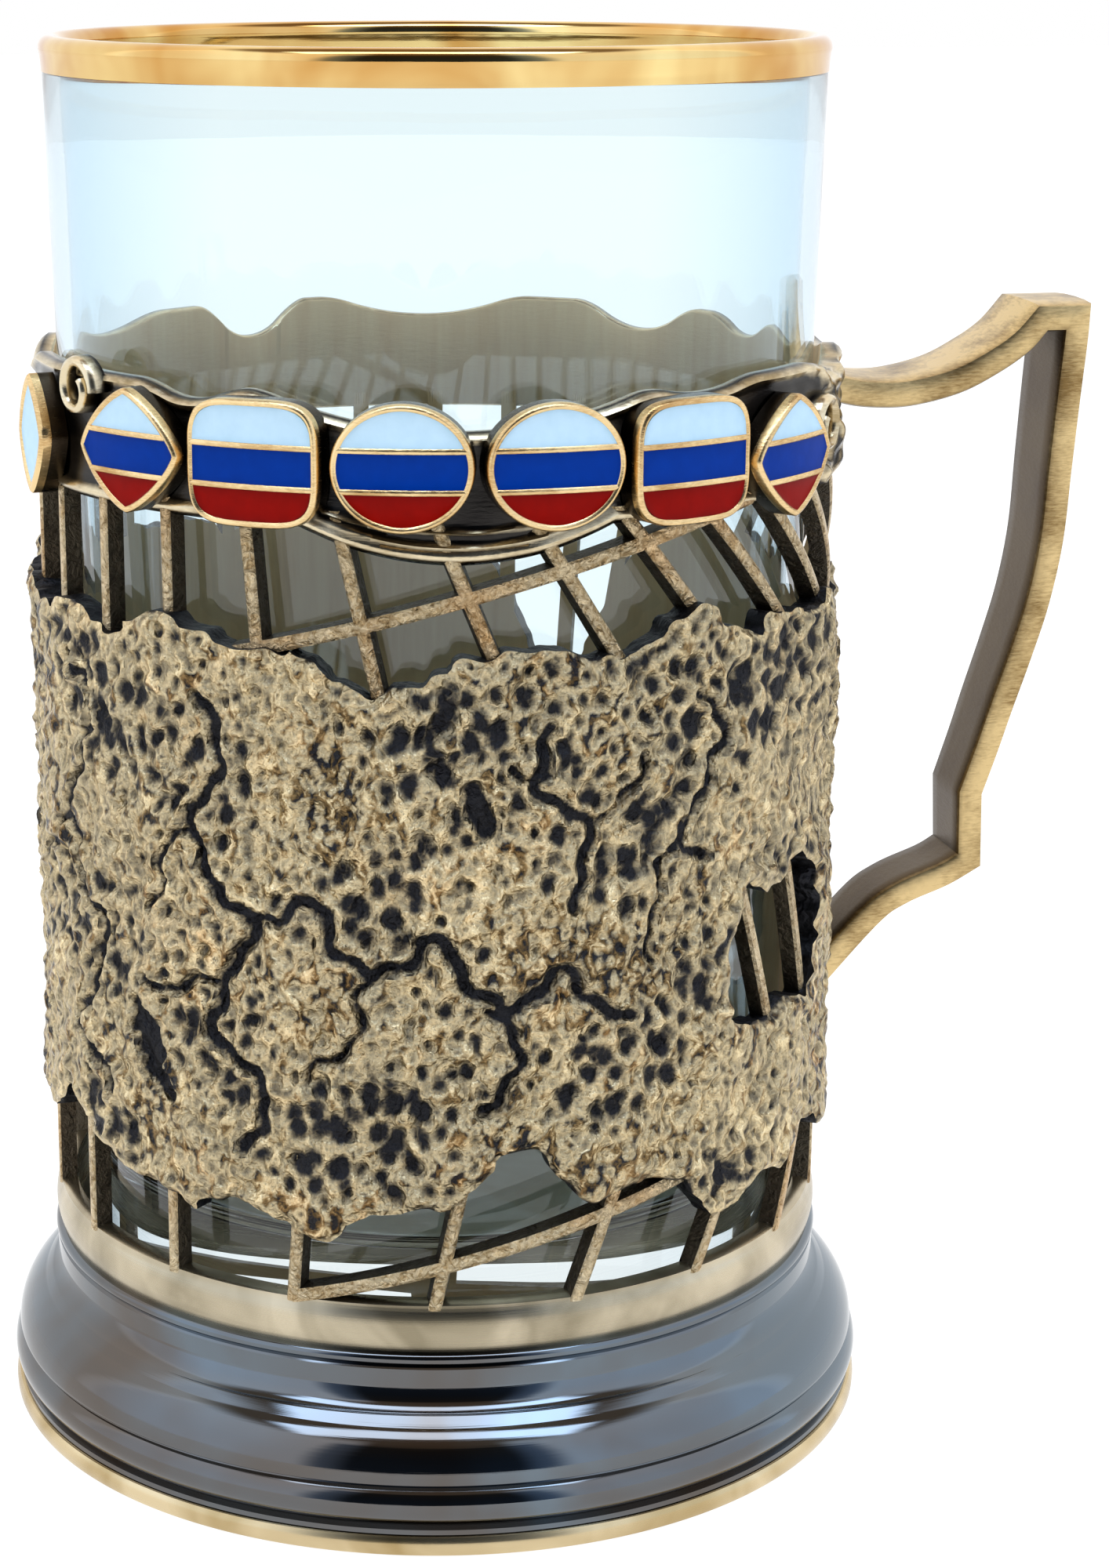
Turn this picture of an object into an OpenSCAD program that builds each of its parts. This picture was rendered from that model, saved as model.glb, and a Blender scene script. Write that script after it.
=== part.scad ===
// Podstakannik: a cast openwork holder with a strap handle, round a lift-out tea glass.
// The origin is on the glass axis at the table, +Z up, with the handle along +X.
// Angles round the axis are polar, in degrees. front_a is the middle of the face with the plaques.

/* [Glass] */
// Radius of the glass under its lip
glass_neck_r = 33.35; // [32.6:0.05:34.5]
// How much narrower the glass is at its bottom edge, in radius
glass_taper = 2.65; // [1:0.05:4]
// Height of the glass
glass_h = 109; // [100:1:116]
// Wall of the glass
glass_wall = 1.5; // [1.2:0.1:2.4]
// Thickness of the glass bottom
glass_floor = 10; // [5:0.5:14]
// Radius of the rounded lip
lip_r = 0.95; // [0.9:0.05:1.4]
// Height of the gilded band round the lip
gilt_h = 2.9; // [2.2:0.1:6]
// Thickness of the gilding
gilt_t = 0.12; // [0.08:0.02:0.3]

/* [Foot] */
// How far the foot stands out past the openwork
foot_flare = 4.4; // [3.6:0.1:8]
// Height of the turned foot
foot_h = 16.4; // [15.6:0.1:18]
// Wall of the foot at its lower edge
foot_wall = 2.3; // [1.6:0.1:3]
// Height of the ring under the foot
ring_h = 1.9; // [1.2:0.1:2.6]
// Width of the ring under the foot
ring_w = 4; // [3:0.1:6]
// Depth of the plate that carries the glass, below the top of the foot
seat_drop = 3.4; // [2.4:0.1:4.2]
// Thickness of that plate
seat_t = 2; // [1:0.1:3]

/* [Sleeve] */
// Least gap between the glass and the sleeve
glass_gap = 0.4; // [0.3:0.05:1]
// Wall of the openwork bars
bar_t = 1.6; // [1.2:0.1:1.7]
// Width of the openwork bars
bar_w = 1.5; // [1:0.1:2.2]
// Wall of the raised relief
relief_t = 2.4; // [1.9:0.1:3]
// Height of the hoop at the bottom of the sleeve
hoop_h = 4; // [3:0.1:4.6]
// Mean height of the open fields below the relief
low_field_h = 8.2; // [6.8:0.1:11]
// Mean height of the relief
relief_h = 47.4; // [38:0.2:56]
// Mean height of the open fields above the relief
high_field_h = 10.2; // [9:0.1:13]
// Depth of the bays and capes in both edges
relief_wave = 3.4; // [1:0.1:3.6]
// Number of bars above the relief
high_bars = 28; // [20:1:32]
// Number of bars below the relief
low_bars = 18; // [12:1:24]
// Sideways run of the most slanted bar, as a share of its height
bar_lean_share = 1.15; // [0:0.05:1.3]
// Tilt of the cross hoops
hoop_tilt = 15; // [8:1:18]
// Width of the channels carved in the relief
channel_w = 1.5; // [0.8:0.1:2.2]
// Depth of the channels carved in the relief
channel_depth = 0.5; // [0.2:0.05:0.7]

/* [Band] */
// Wall of the band round the top of the sleeve
band_t = 1.8; // [1.7:0.1:2.6]
// Height of the band between its lower edge and the capes of its upper edge
band_h = 10; // [9:0.1:12]
// Sag of the band under the middle plaques
band_sag = 2.8; // [0:0.1:3]
// Depth of the deepest bay in the band's upper edge
bay_depth = 3; // [0.5:0.1:3.2]
// Height of the thin hoop that the band stands on
rail_h = 1; // [0.8:0.1:1.6]

/* [Plaques] */
// Width of a plaque
plaque_w = 11.2; // [9:0.1:11.6]
// Height of a plaque
plaque_h = 10; // [8:0.1:11]
// Thickness of a plaque
plaque_t = 2; // [1.4:0.1:2.6]
// Gap between neighbouring plaques
plaque_gap = 1.05; // [0.7:0.05:2]
// Height of the plaque centres above the band's lower edge
plaque_rise = 4.5; // [4:0.1:5.2]
// Width of the wires round the enamel
wire_w = 0.55; // [0.4:0.05:0.8]
// Depth of the enamel cells
cell_depth = 0.6; // [0.4:0.05:0.9]
// Drop of the enamel below the wires
enamel_drop = 0.1; // [0.05:0.05:0.3]
// Width of the leaf plaque at the left
leaf_w = 6.4; // [5:0.1:7]
// Radius of the scrolls at the ends of the band
scroll_r = 3.1; // [2.4:0.1:3.4]
// Width of the scrolled ribbon
scroll_w = 1; // [0.7:0.1:1.2]
// Thickness of the scrolls
scroll_t = 1.2; // [0.6:0.1:1.8]

/* [Handle] */
// How far the handle stands out past the band
handle_stand = 23.6; // [20:0.2:30]
// Height of the handle's flat top above the band
handle_rise = 2.2; // [0.5:0.1:6]
// Height of the handle's lower root above the relief's lower edge
handle_root = 6.4; // [5:0.1:12]
// Thickness of the strap
strap_t = 2.4; // [1.8:0.1:2.8]
// Width of the strap at its top
strap_w_top = 9.6; // [7:0.1:12]
// Width of the strap at its lower root
strap_w_low = 6.4; // [5:0.1:9]

/* [Hidden] */
$fn = 96;

// Middle of the decorated face
front_a = -101;
// Overrun of every cutting body past the wall that it cuts
overrun = 1;

// Heights of the stacked parts above the table
seat_z = foot_h - seat_drop;
hoop_top = foot_h + hoop_h;
relief_low = hoop_top + low_field_h;
relief_high = relief_low + relief_h;
band_low = relief_high + high_field_h;
band_high = band_low + band_h;
plaque_z = band_low + plaque_rise;
handle_low = relief_low + handle_root;
handle_top = band_high + handle_rise;

// The glass tapers evenly from its neck to its bottom edge
glass_foot_r = glass_neck_r - glass_taper;
function glass_r(z) = glass_foot_r + (glass_neck_r - glass_foot_r) * (z - seat_z) / glass_h;
glass_top = seat_z + glass_h;
floor_z = seat_z + glass_floor;

// One smooth bump of height 1, centred on angle c, that fades over width w
function turn(a) = (a % 360 + 540) % 360 - 180;
function bump(a, c, w) = exp(-pow(turn(a - c) / w, 2));

// Edges of the relief, by angle from the front: bays and capes under fine ragged teeth.
// Each cape is its angle, its width as an angle and its height as a share; a bay's share is below 0.
high_cape_shares = [[-3, 9, -1.1], [-40, 9, 0.9], [20, 10, -0.5], [158, 13, -5], [-172, 9, 0.7]];
low_cape_shares = [[12, 8, 1.3], [-62, 9, 0.6], [140, 12, 0.7], [44, 6, -0.9]];
function capes(a, list) = [for (c = list) c[2]] * [for (c = list) bump(a, c[0], c[1])];
high_teeth_angle = 40;
low_teeth_angle = 75;
function teeth(a, p) = (sin(11 * a + p) + sin(19 * a + 3 * p)) / 5;
function relief_high_at(a) = relief_high
    + relief_wave * (teeth(a, high_teeth_angle) + 0.35 * sin(3 * a + 20) + capes(a, high_cape_shares));
function relief_low_at(a) = relief_low
    + relief_wave * (teeth(a, low_teeth_angle) + 0.3 * sin(4 * a + 10) + capes(a, low_cape_shares));

// Radii of the sleeve, outwards from the glass
bore_r = glass_r(band_high) + glass_gap;
bar_r = bore_r + bar_t;
relief_r = bore_r + relief_t;
band_r = bore_r + band_t;
plaque_r = band_r + plaque_t;
cell_r = plaque_r - cell_depth;
foot_r = bar_r + foot_flare;
handle_reach = band_r + handle_stand;
// Height from which the relief may start, below its lowest cape
low_step = (hoop_top + relief_low - relief_wave) / 2;

// Slant of a bar by angle from the front: upright at the left, leaning most at the right
lean_from = -45;
lean_to = 170;
function lean_at(a) = (a < lean_from || a > lean_to) ? 0
    : bar_lean_share * (1 - cos(360 * (a - lean_from) / (lean_to - lean_from))) / 2;

// A flat outline drawn as [across, height], pushed outward from the axis at angle a
module outward(a, r_from, r_to) {
    rotate([0, 0, a])
        translate([r_from, 0, 0])
            rotate([90, 0, 90])
                linear_extrude(r_to - r_from)
                    children();
}

// A stretch of round wall between two radii and two heights, middle at angle a
module wall(a, sweep, r_in, r_out, low, high) {
    rotate([0, 0, a - sweep / 2])
        rotate_extrude(angle = sweep)
            translate([r_in, low])
                square([r_out - r_in, high - low]);
}

// What an outward outline covers of a round wall
module on_wall(a, sweep, r_in, r_out, low, high) {
    intersection() {
        wall(a, sweep, r_in, r_out, low, high);
        outward(a, r_in * cos(sweep / 2) - overrun, r_out + overrun) children();
    }
}

// A whole round wall
module ring(r_in, r_out, low, high) {
    rotate_extrude()
        translate([r_in, low])
            square([r_out - r_in, high - low]);
}

// A lying cylinder outward at angle a, whose arc has the given half width and depth at a height
module outward_arc(a, z, half_w, depth, grow) {
    r = (half_w * half_w + depth * depth) / 2 / abs(depth);
    rotate([0, 0, a])
        translate([0, 0, z + (depth > 0 ? r - depth : -r - depth)])
            rotate([0, 90, 0])
                cylinder(h = 2 * relief_r, r = r + grow);
}

// The bulge of the band below its own level, under the middle plaques
sag_a = front_a + 3;
sag_half = 0.36 * band_r;
module sag(grow) {
    outward_arc(sag_a, band_low, sag_half, band_sag, grow);
}

// Angle of a bar of the openwork at a height, given its angle and lean at a start height
function along(a, lean, start_z, z) = a + lean * (start_z - z) / bar_r * 180 / PI;
// Half of a bar's breadth round the wall, as an angle
function half_bar(lean) = bar_w / 2 * sqrt(1 + lean * lean) / bar_r * 180 / PI;

// Outline of one field of the openwork between two bars. Its edge at the relief is ragged, and the
// side share moves the two slanted sides from the bars' faces (1) to past their middles (below 0).
function field(left, right, lean_l, lean_r, level, edge_at, mean_z, side) =
    let (l = along(left, lean_l, level, mean_z),
         r = along(right, lean_r, level, mean_z),
         half_l = half_bar(lean_l),
         half_r = half_bar(lean_r),
         ends = [left + side * half_l, right - side * half_r],
         mid = (l + r + left + right) / 4,
         inner = [for (t = [1:3]) l + half_l + (r - half_r - l - half_l) * t / 4])
    concat(
        [for (a = concat([l + side * half_l], inner, [r - side * half_r]))
            [bar_r * sin(a - mid), edge_at(a)]],
        [[bar_r * sin(ends[1] - mid), level], [bar_r * sin(ends[0] - mid), level]]
    );
function field_mid(left, right, lean_l, lean_r, level, mean_z) =
    (left + right + along(left, lean_l, level, mean_z) + along(right, lean_r, level, mean_z)) / 4;

// Everything that a field takes off the wall: its hole, or with side below 0 only the wall's front
module field_cut(left, right, leans, level, edge_at, mean_z, side) {
    outline = field(left, right, leans[0], leans[1], level, edge_at, mean_z, side);
    mid = front_a + field_mid(left, right, leans[0], leans[1], level, mean_z);
    if (side > 0)
        outward(mid, bore_r * 0.9, relief_r + overrun) polygon(outline);
    else
        difference() {
            outward(mid, bore_r * 0.9, relief_r + overrun) polygon(outline);
            cylinder(h = 2 * band_high, r = bar_r);
        }
}

// The front of the relief stands back from the edges of the holes by this ledge
ledge = 0.2 * bar_w;
module high_fields(side, level) {
    pitch = 360 / high_bars;
    back = side > 0 ? 0 : ledge;
    for (i = [0:high_bars - 1])
        field_cut(i * pitch, (i + 1) * pitch, [lean_at(turn(i * pitch)), lean_at(turn((i + 1) * pitch))],
            level, function(a) relief_high_at(a) - back, relief_high, side);
}

module low_fields(side, level) {
    pitch = 360 / low_bars;
    back = side > 0 ? 0 : ledge;
    for (i = [0:low_bars - 1])
        field_cut(i * pitch, (i + 1) * pitch,
            [-lean_at(turn(i * pitch)) / 2, -lean_at(turn((i + 1) * pitch)) / 2],
            level, function(a) relief_low_at(a) + back, relief_low, side);
}

// A slab that leaves a tilted cross hoop where the fields are cut
module hoop_slab(z) {
    rotate([0, 0, front_a])
        translate([0, 0, z])
            rotate([hoop_tilt, 0, 0])
                cube([4 * bar_r, 4 * bar_r, bar_w], center = true);
}

// The glass, drawn from the axis outwards, or grown sideways for what lies on it
module glass_profile(grow) {
    polygon([
        [0, seat_z], [glass_foot_r - lip_r, seat_z], [glass_foot_r + grow, seat_z + lip_r],
        [glass_neck_r + grow, glass_top - lip_r],
        [glass_neck_r - glass_wall - grow, glass_top - lip_r],
        [glass_r(floor_z + 3 * lip_r) - glass_wall - grow, floor_z + 3 * lip_r],
        [glass_r(floor_z) - glass_wall - 2 * lip_r, floor_z], [0, floor_z - lip_r]
    ]);
    translate([glass_neck_r + lip_gap - lip_r, glass_top - lip_r]) circle(r = lip_r + grow);
}
// How far the lip stands out past the neck
lip_gap = 0.15 * lip_r;

module glass_tumbler() {
    color([0.86, 0.93, 0.97, 0.4])
        rotate_extrude() glass_profile(0);
}

module gilt_rim() {
    color([0.85, 0.62, 0.2])
        rotate_extrude()
            intersection() {
                difference() {
                    glass_profile(gilt_t);
                    glass_profile(0);
                }
                translate([0, glass_top - gilt_h]) square([2 * glass_neck_r, 2 * gilt_h]);
            }
}

// Points on an arc in the drawing plane of a turned piece
function arc(centre, r, from_a, to_a, steps) =
    [for (i = [0:steps]) centre + r * [cos(from_a + (to_a - from_a) * i / steps),
                                       sin(from_a + (to_a - from_a) * i / steps)]];

// Heights of the turned steps of the foot, from the table up
torus_low = 0.38 * foot_h;
torus_high = 0.67 * foot_h;
cove_top = 0.82 * foot_h;
bead_low = 0.93 * foot_h;
fillet_r = 0.05 * (foot_r - bar_r);
groove = 0.1 * (foot_r - bar_r);
step_r = foot_r - groove;
torus_r = torus_high - torus_low;

module base_ring() {
    color([0.72, 0.56, 0.3])
        rotate_extrude()
            polygon([
                [foot_r - ring_w, 0], [foot_r - 2 * fillet_r, 0], [foot_r, 2 * fillet_r],
                [foot_r, ring_h - fillet_r], [foot_r - fillet_r, ring_h], [foot_r - ring_w, ring_h]
            ]);
}

// The turned foot: ovolo, groove, torus, cove, plain fillet and bead, hollow underneath
module foot() {
    ledge_r = bore_r - seat_t / 2;
    ovolo_z = (ring_h + torus_low) / 2;
    ovolo_r = (torus_low - ring_h) / 2 - fillet_r;
    color([0.36, 0.38, 0.42])
        rotate_extrude()
            polygon(concat(
                [[foot_r - foot_wall, ring_h], [step_r, ring_h], [step_r, ring_h + groove]],
                arc([foot_r - ovolo_r, ovolo_z + groove / 2], ovolo_r, -60, 60, 6),
                [[step_r - fillet_r, torus_low]],
                arc([step_r - torus_r, torus_low], torus_r, 0, 62, 8),
                arc([bar_r + 4 * groove, cove_top], cove_top - torus_high, 250, 180, 5),
                [[bar_r + groove / 2, cove_top], [bar_r + groove / 2, bead_low - fillet_r]],
                [[bar_r, bead_low]],
                arc([bar_r - fillet_r, (bead_low + foot_h) / 2], (foot_h - bead_low) / 2, -50, 50, 4),
                [[bar_r - groove / 2, foot_h], [bore_r, foot_h]],
                [[bore_r, seat_z - seat_t], [ledge_r, seat_z - seat_t]],
                [[ledge_r, seat_z - 2 * seat_t], [foot_r - 2 * foot_wall, torus_low + groove]]
            ));
}

module glass_seat() {
    color([0.62, 0.48, 0.27])
        translate([0, 0, seat_z - seat_t])
            cylinder(h = seat_t, r = bore_r);
}

// Window through the relief at the right, with its own ragged outline
window_a = front_a + 57;
window_w = 0.5 * bar_r;
window_h = 0.3 * relief_h;
window_z = relief_low + 0.4 * relief_h;
window_shares = [
    [-0.5, -0.32], [-0.22, -0.5], [0.05, -0.4], [0.34, -0.48], [0.5, -0.15],
    [0.42, 0.3], [0.2, 0.5], [-0.08, 0.34], [-0.3, 0.42], [-0.46, 0.1]
];
// The two bars that cross the window lean by these shares of its width
window_bar_shares = [-0.2, 0.24];

module window_outline() {
    polygon([for (s = window_shares) [s[0] * window_w, window_z + s[1] * window_h]]);
}

module window_bars() {
    lean_w = 0.3 * window_w;
    for (s = window_bar_shares)
        translate([s * window_w, window_z])
            polygon([
                [-lean_w - bar_w / 2, window_h], [-lean_w + bar_w / 2, window_h],
                [lean_w + bar_w / 2, -window_h], [lean_w - bar_w / 2, -window_h]
            ]);
}

// Channels carved in the relief, each as angles from the front and shares of the relief's height
channel_shares = [
    [[-33, 0.9], [-29, 0.83], [-34, 0.66], [-26, 0.5], [-31, 0.33], [-23, 0.18], [-27, 0.1]],
    [[-25, 0.5], [-16, 0.56], [-9, 0.43], [1, 0.5], [8, 0.37], [17, 0.43], [26, 0.33]],
    [[8, 0.38], [11, 0.27], [6, 0.2]],
    [[16, 0.86], [13, 0.78], [21, 0.66], [18, 0.55]],
    [[38, 0.9], [42, 0.8], [35, 0.68], [38, 0.6]],
    [[-60, 0.92], [-54, 0.8], [-61, 0.62], [-53, 0.42], [-58, 0.25], [-51, 0.14]],
    [[-62, 0.62], [-70, 0.52], [-78, 0.57], [-86, 0.43]],
    [[76, 0.92], [81, 0.76], [78, 0.58], [85, 0.36], [81, 0.18]],
    [[110, 0.92], [115, 0.75], [109, 0.5], [116, 0.3], [112, 0.16]],
    [[134, 0.9], [130, 0.7], [139, 0.48], [134, 0.28]],
    [[-168, 0.9], [-174, 0.68], [-166, 0.42], [-173, 0.18]],
    [[-138, 0.92], [-131, 0.74], [-139, 0.5], [-130, 0.28], [-136, 0.12]],
    [[-103, 0.92], [-98, 0.72], [-106, 0.52], [-99, 0.3], [-104, 0.14]]
];

module channel(shares) {
    mid = (shares[0][0] + shares[len(shares) - 1][0]) / 2;
    line = [for (p = shares) [relief_r * sin(p[0] - mid), relief_low + p[1] * relief_h]];
    left = beside(line, -channel_w / 2);
    right = beside(line, channel_w / 2);
    outward(front_a + mid, bore_r * 0.9, relief_r + overrun)
        polygon(concat(left, [for (i = [len(line) - 1:-1:0]) right[i]]));
}

// The cast wall before its openwork: a convex hoop on the foot, then a plain wall
module sleeve_blank() {
    // The round wall closes in the middle of a field
    rotate([0, 0, front_a - 70])
        rotate_extrude()
            polygon(concat(
                [[bore_r, foot_h], [bar_r - groove / 2, foot_h]],
                arc([bar_r - hoop_h, foot_h + hoop_h / 2], hoop_h + groove / 2, -24, 24, 6),
                [[bar_r - groove / 2, hoop_top], [bar_r - groove / 2, low_step]],
                [[relief_r, low_step], [relief_r, band_low], [bore_r, band_low]]
            ));
}

module sleeve() {
    color([0.62, 0.5, 0.32])
        difference() {
            sleeve_blank();
            sag(0);
            // The fields stand back from the relief
            high_fields(-0.4, band_low + overrun);
            low_fields(-0.4, low_step - overrun);
            difference() {
                outward(window_a, bore_r * 0.9, relief_r + overrun) window_outline();
                cylinder(h = band_low, r = bar_r);
            }
            difference() {
                for (shares = channel_shares)
                    channel(shares);
                cylinder(h = band_low, r = relief_r - channel_depth);
            }
            // Their holes, with the cross hoops and the rail under the band left standing
            difference() {
                high_fields(1, band_low - rail_h);
                hoop_slab(relief_high + relief_wave);
                sag(rail_h);
            }
            difference() {
                low_fields(1, hoop_top + rail_h / 2);
                hoop_slab(hoop_top + relief_wave);
            }
            outward(window_a, bore_r * 0.9, relief_r + overrun)
                difference() {
                    window_outline();
                    window_bars();
                }
        }
}

// Bays in the band's upper edge: angle from the front, half width as an angle, depth as a share
bay_shares = [
    [3, 26, 1], [-34, 7, 0.4], [38, 9, 0.3], [74, 10, 0.45], [96, 9, 0.3], [117, 8, 0.55],
    [143, 10, 0.8], [-178, 15, 0.6], [-147, 8, 1.1], [-112, 14, 0.35], [-86, 9, 0.5]
];

module top_band() {
    color([0.3, 0.26, 0.2])
        difference() {
            ring(bore_r, band_r, band_low - band_sag - overrun, band_high);
            difference() {
                ring(bore_r - overrun, band_r + overrun, band_low - band_sag - 2 * overrun, band_low);
                sag(0);
            }
            for (b = bay_shares)
                outward_arc(front_a + b[0], band_high, b[1] / 180 * PI * band_r, bay_depth * b[2], 0);
        }
}

// Outline of a plaque: a rounded figure between a lozenge and a cushion
function rounded(w, h, power) = [for (i = [0:31])
    let (c = cos(i * 11.25), s = sin(i * 11.25), k = pow(pow(abs(c), power) + pow(abs(s), power), -1 / power))
    [w / 2 * c * k, h / 2 * s * k]];
// Lozenge, cushion and oval take turns along the band
plaque_powers = [1.35, 4, 2, 2, 4, 1.35];
plaque_row_a = front_a - 4;
plaque_angle = (plaque_w + plaque_gap) / plaque_r * 180 / PI;
function plaque_a(i) = plaque_row_a + (i - 2) * plaque_angle;
// Angle of a piece beside the first or last plaque, its middle past the plaque's side by a distance
function past_row(i, away) = plaque_a(i) + (i > 0 ? 1 : -1) * (plaque_w / 2 + away) / plaque_r * 180 / PI;
function plaque_mid(i) = plaque_z - (i > 3 ? plaque_h * 0.03 * pow(i - 3, 2) : 0);

// A flat outline on the band, from one radius to another
module on_band(a, mid, r_in, r_out) {
    on_wall(a, plaque_angle + 1, r_in, r_out, mid - plaque_h, mid + plaque_h)
        translate([0, mid]) children();
}

// One cell: the inner outline between two wires, as shares of the height from the bottom
module cell_outline(power, low_share, high_share) {
    intersection() {
        polygon(rounded(plaque_w - 2 * wire_w, plaque_h - 2 * wire_w, power));
        translate([-plaque_w / 2, (low_share - 0.5) * plaque_h + wire_w / 2])
            square([plaque_w, (high_share - low_share) * plaque_h - wire_w]);
    }
}
// Bounds of the red, blue and white cells, as shares of the height
cell_shares = [[-0.1, 0.32], [0.32, 0.64], [0.64, 1.1]];

module plaque(i) {
    color([0.8, 0.6, 0.3])
        difference() {
            on_band(plaque_a(i), plaque_mid(i), band_r, plaque_r)
                polygon(rounded(plaque_w, plaque_h, plaque_powers[i]));
            for (s = cell_shares)
                on_band(plaque_a(i), plaque_mid(i), cell_r, plaque_r + overrun)
                    cell_outline(plaque_powers[i], s[0], s[1]);
        }
}

module enamel(i, s, shade) {
    color(shade)
        on_band(plaque_a(i), plaque_mid(i), cell_r, plaque_r - enamel_drop)
            cell_outline(plaque_powers[i], s[0], s[1]);
}

// Pointed leaf at the left end of the row
leaf_a = past_row(0, leaf_w / 2 + 2.15 * scroll_r);
leaf_power = 1.4;
module leaf_mount() {
    color([0.8, 0.6, 0.3])
        difference() {
            on_band(leaf_a, plaque_z - wire_w, band_r, plaque_r)
                polygon(rounded(leaf_w, plaque_h, leaf_power));
            on_band(leaf_a, plaque_z - wire_w, cell_r, plaque_r + overrun)
                polygon(rounded(leaf_w - 3 * wire_w, plaque_h - 3 * wire_w, leaf_power));
        }
}

module leaf_enamel() {
    color([0.9, 0.94, 0.97])
        on_band(leaf_a, plaque_z - wire_w, cell_r, plaque_r - enamel_drop)
            polygon(rounded(leaf_w - 3 * wire_w, plaque_h - 3 * wire_w, leaf_power));
}

// Angles of the curled ribbon ends
scroll_left_a = past_row(0, 0.79 * scroll_r);
scroll_right_a = past_row(5, 0.9 * scroll_r);
// Curled end of the ribbon: a flat spiral of about a turn
function spiral(r, turns, steps) = [for (i = [0:steps])
    (r - (r - 1.6 * scroll_w) * i / steps) * [cos(450 * turns * i / steps), sin(450 * turns * i / steps)]];
module scroll(a, mid, side) {
    color([0.62, 0.5, 0.32])
        on_band(a, mid, band_r, band_r + scroll_t)
            mirror([side < 0 ? 1 : 0, 0])
                polygon(concat(
                    spiral(scroll_r, 0.9, 20),
                    [for (i = [20:-1:0]) spiral(scroll_r - scroll_w, 0.9, 20)[i]]
                ));
}

// Line of the strap's outer face, as shares of its reach past the band and of its height
handle_shares = [
    [-0.1, 0.925], [0.045, 0.907], [0.15, 0.9], [0.29, 0.9], [0.46, 0.914], [0.59, 0.937], [0.695, 0.963],
    [0.785, 1], [1, 1], [0.996, 0.95], [0.98, 0.868], [0.962, 0.765], [0.945, 0.662], [0.903, 0.571],
    [0.843, 0.492], [0.775, 0.413], [0.725, 0.352], [0.67, 0.29], [0.68, 0.18], [0.547, 0.153],
    [0.377, 0.128], [0.258, 0.096], [-0.08, -0.06]
];
handle_line = [for (s = handle_shares)
    [band_r + s[0] * (handle_reach - band_r), handle_low + s[1] * (handle_top - handle_low)]];

// The same line moved a distance to its right, with mitred corners
function unit(v) = v / norm(v);
function right_of(v) = [v[1], -v[0]];
function beside(line, d) = [for (i = [0:len(line) - 1])
    let (before = right_of(unit(line[max(i, 1)] - line[max(i, 1) - 1])),
         last = len(line) - 1,
         after = right_of(unit(line[min(i + 1, last)] - line[min(i + 1, last) - 1])),
         middle = unit(before + after))
    line[i] + middle * d / (middle * before)];

module handle() {
    inner = beside(handle_line, strap_t);
    last = len(handle_line) - 1;
    color([0.72, 0.56, 0.33])
        difference() {
            intersection() {
                rotate([90, 0, 0])
                    translate([0, 0, -strap_w_top])
                        linear_extrude(2 * strap_w_top)
                            polygon(concat(handle_line, [for (i = [last:-1:0]) inner[i]]));
                // Even taper of the strap's width from its top to its root
                rotate([90, 0, 90])
                    linear_extrude(2 * handle_reach)
                        polygon([
                            [-strap_w_low / 2, handle_low - strap_w_low],
                            [strap_w_low / 2, handle_low - strap_w_low],
                            [strap_w_top / 2, handle_top], [-strap_w_top / 2, handle_top]
                        ]);
            }
            // Both roots are fitted to the round wall that they are soldered to
            translate([0, 0, -overrun]) cylinder(h = relief_high + overrun, r = relief_r);
            cylinder(h = 2 * handle_top, r = band_r);
        }
}

white = [0.92, 0.95, 0.98];
blue = [0.02, 0.24, 0.62];
red = [0.64, 0.14, 0.12];

glass_tumbler();
gilt_rim();
base_ring();
foot();
glass_seat();
sleeve();
top_band();
for (i = [0:5]) {
    plaque(i);
    enamel(i, cell_shares[2], white);
    enamel(i, cell_shares[1], blue);
    enamel(i, cell_shares[0], red);
}
leaf_mount();
leaf_enamel();
scroll(scroll_left_a, band_high - scroll_r / 2, 1);  // scroll_left
scroll(scroll_right_a, plaque_z, -1);  // scroll_right
handle();
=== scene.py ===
# Podstakannik: a tea glass holder with a cast openwork sleeve, a waved band with enamelled plaques,
# a strap handle and a turned foot, and the loose tea glass that stands in it.
import math
import bpy
import numpy as np
from functools import partial
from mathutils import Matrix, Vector


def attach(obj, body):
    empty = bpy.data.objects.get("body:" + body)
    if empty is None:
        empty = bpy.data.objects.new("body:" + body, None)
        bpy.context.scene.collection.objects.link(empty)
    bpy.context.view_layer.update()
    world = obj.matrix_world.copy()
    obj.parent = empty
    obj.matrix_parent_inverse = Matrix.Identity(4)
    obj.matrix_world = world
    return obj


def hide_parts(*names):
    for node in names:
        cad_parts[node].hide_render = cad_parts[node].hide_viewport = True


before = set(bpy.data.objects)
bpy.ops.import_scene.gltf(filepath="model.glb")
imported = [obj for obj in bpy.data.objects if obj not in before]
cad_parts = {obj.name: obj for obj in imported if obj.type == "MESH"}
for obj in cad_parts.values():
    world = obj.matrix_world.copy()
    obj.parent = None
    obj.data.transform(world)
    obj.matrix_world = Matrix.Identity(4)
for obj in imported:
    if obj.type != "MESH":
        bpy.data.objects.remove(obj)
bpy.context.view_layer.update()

# Everything is measured in millimetres here and written to the meshes in metres.
# Angles are degrees round the axis from the middle of the plaques, positive to the right.
faceTurn = -101.0
glass = {"neckR": 33.35, "taper": 2.65, "height": 109, "wall": 1.5, "floor": 10, "seat": 13, "lip": 0.95,
         "lipProud": 0.14, "gap": 0.4}


def glassR(z):
    return glass["neckR"] - glass["taper"] * (1 - (z - glass["seat"]) / glass["height"])


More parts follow.
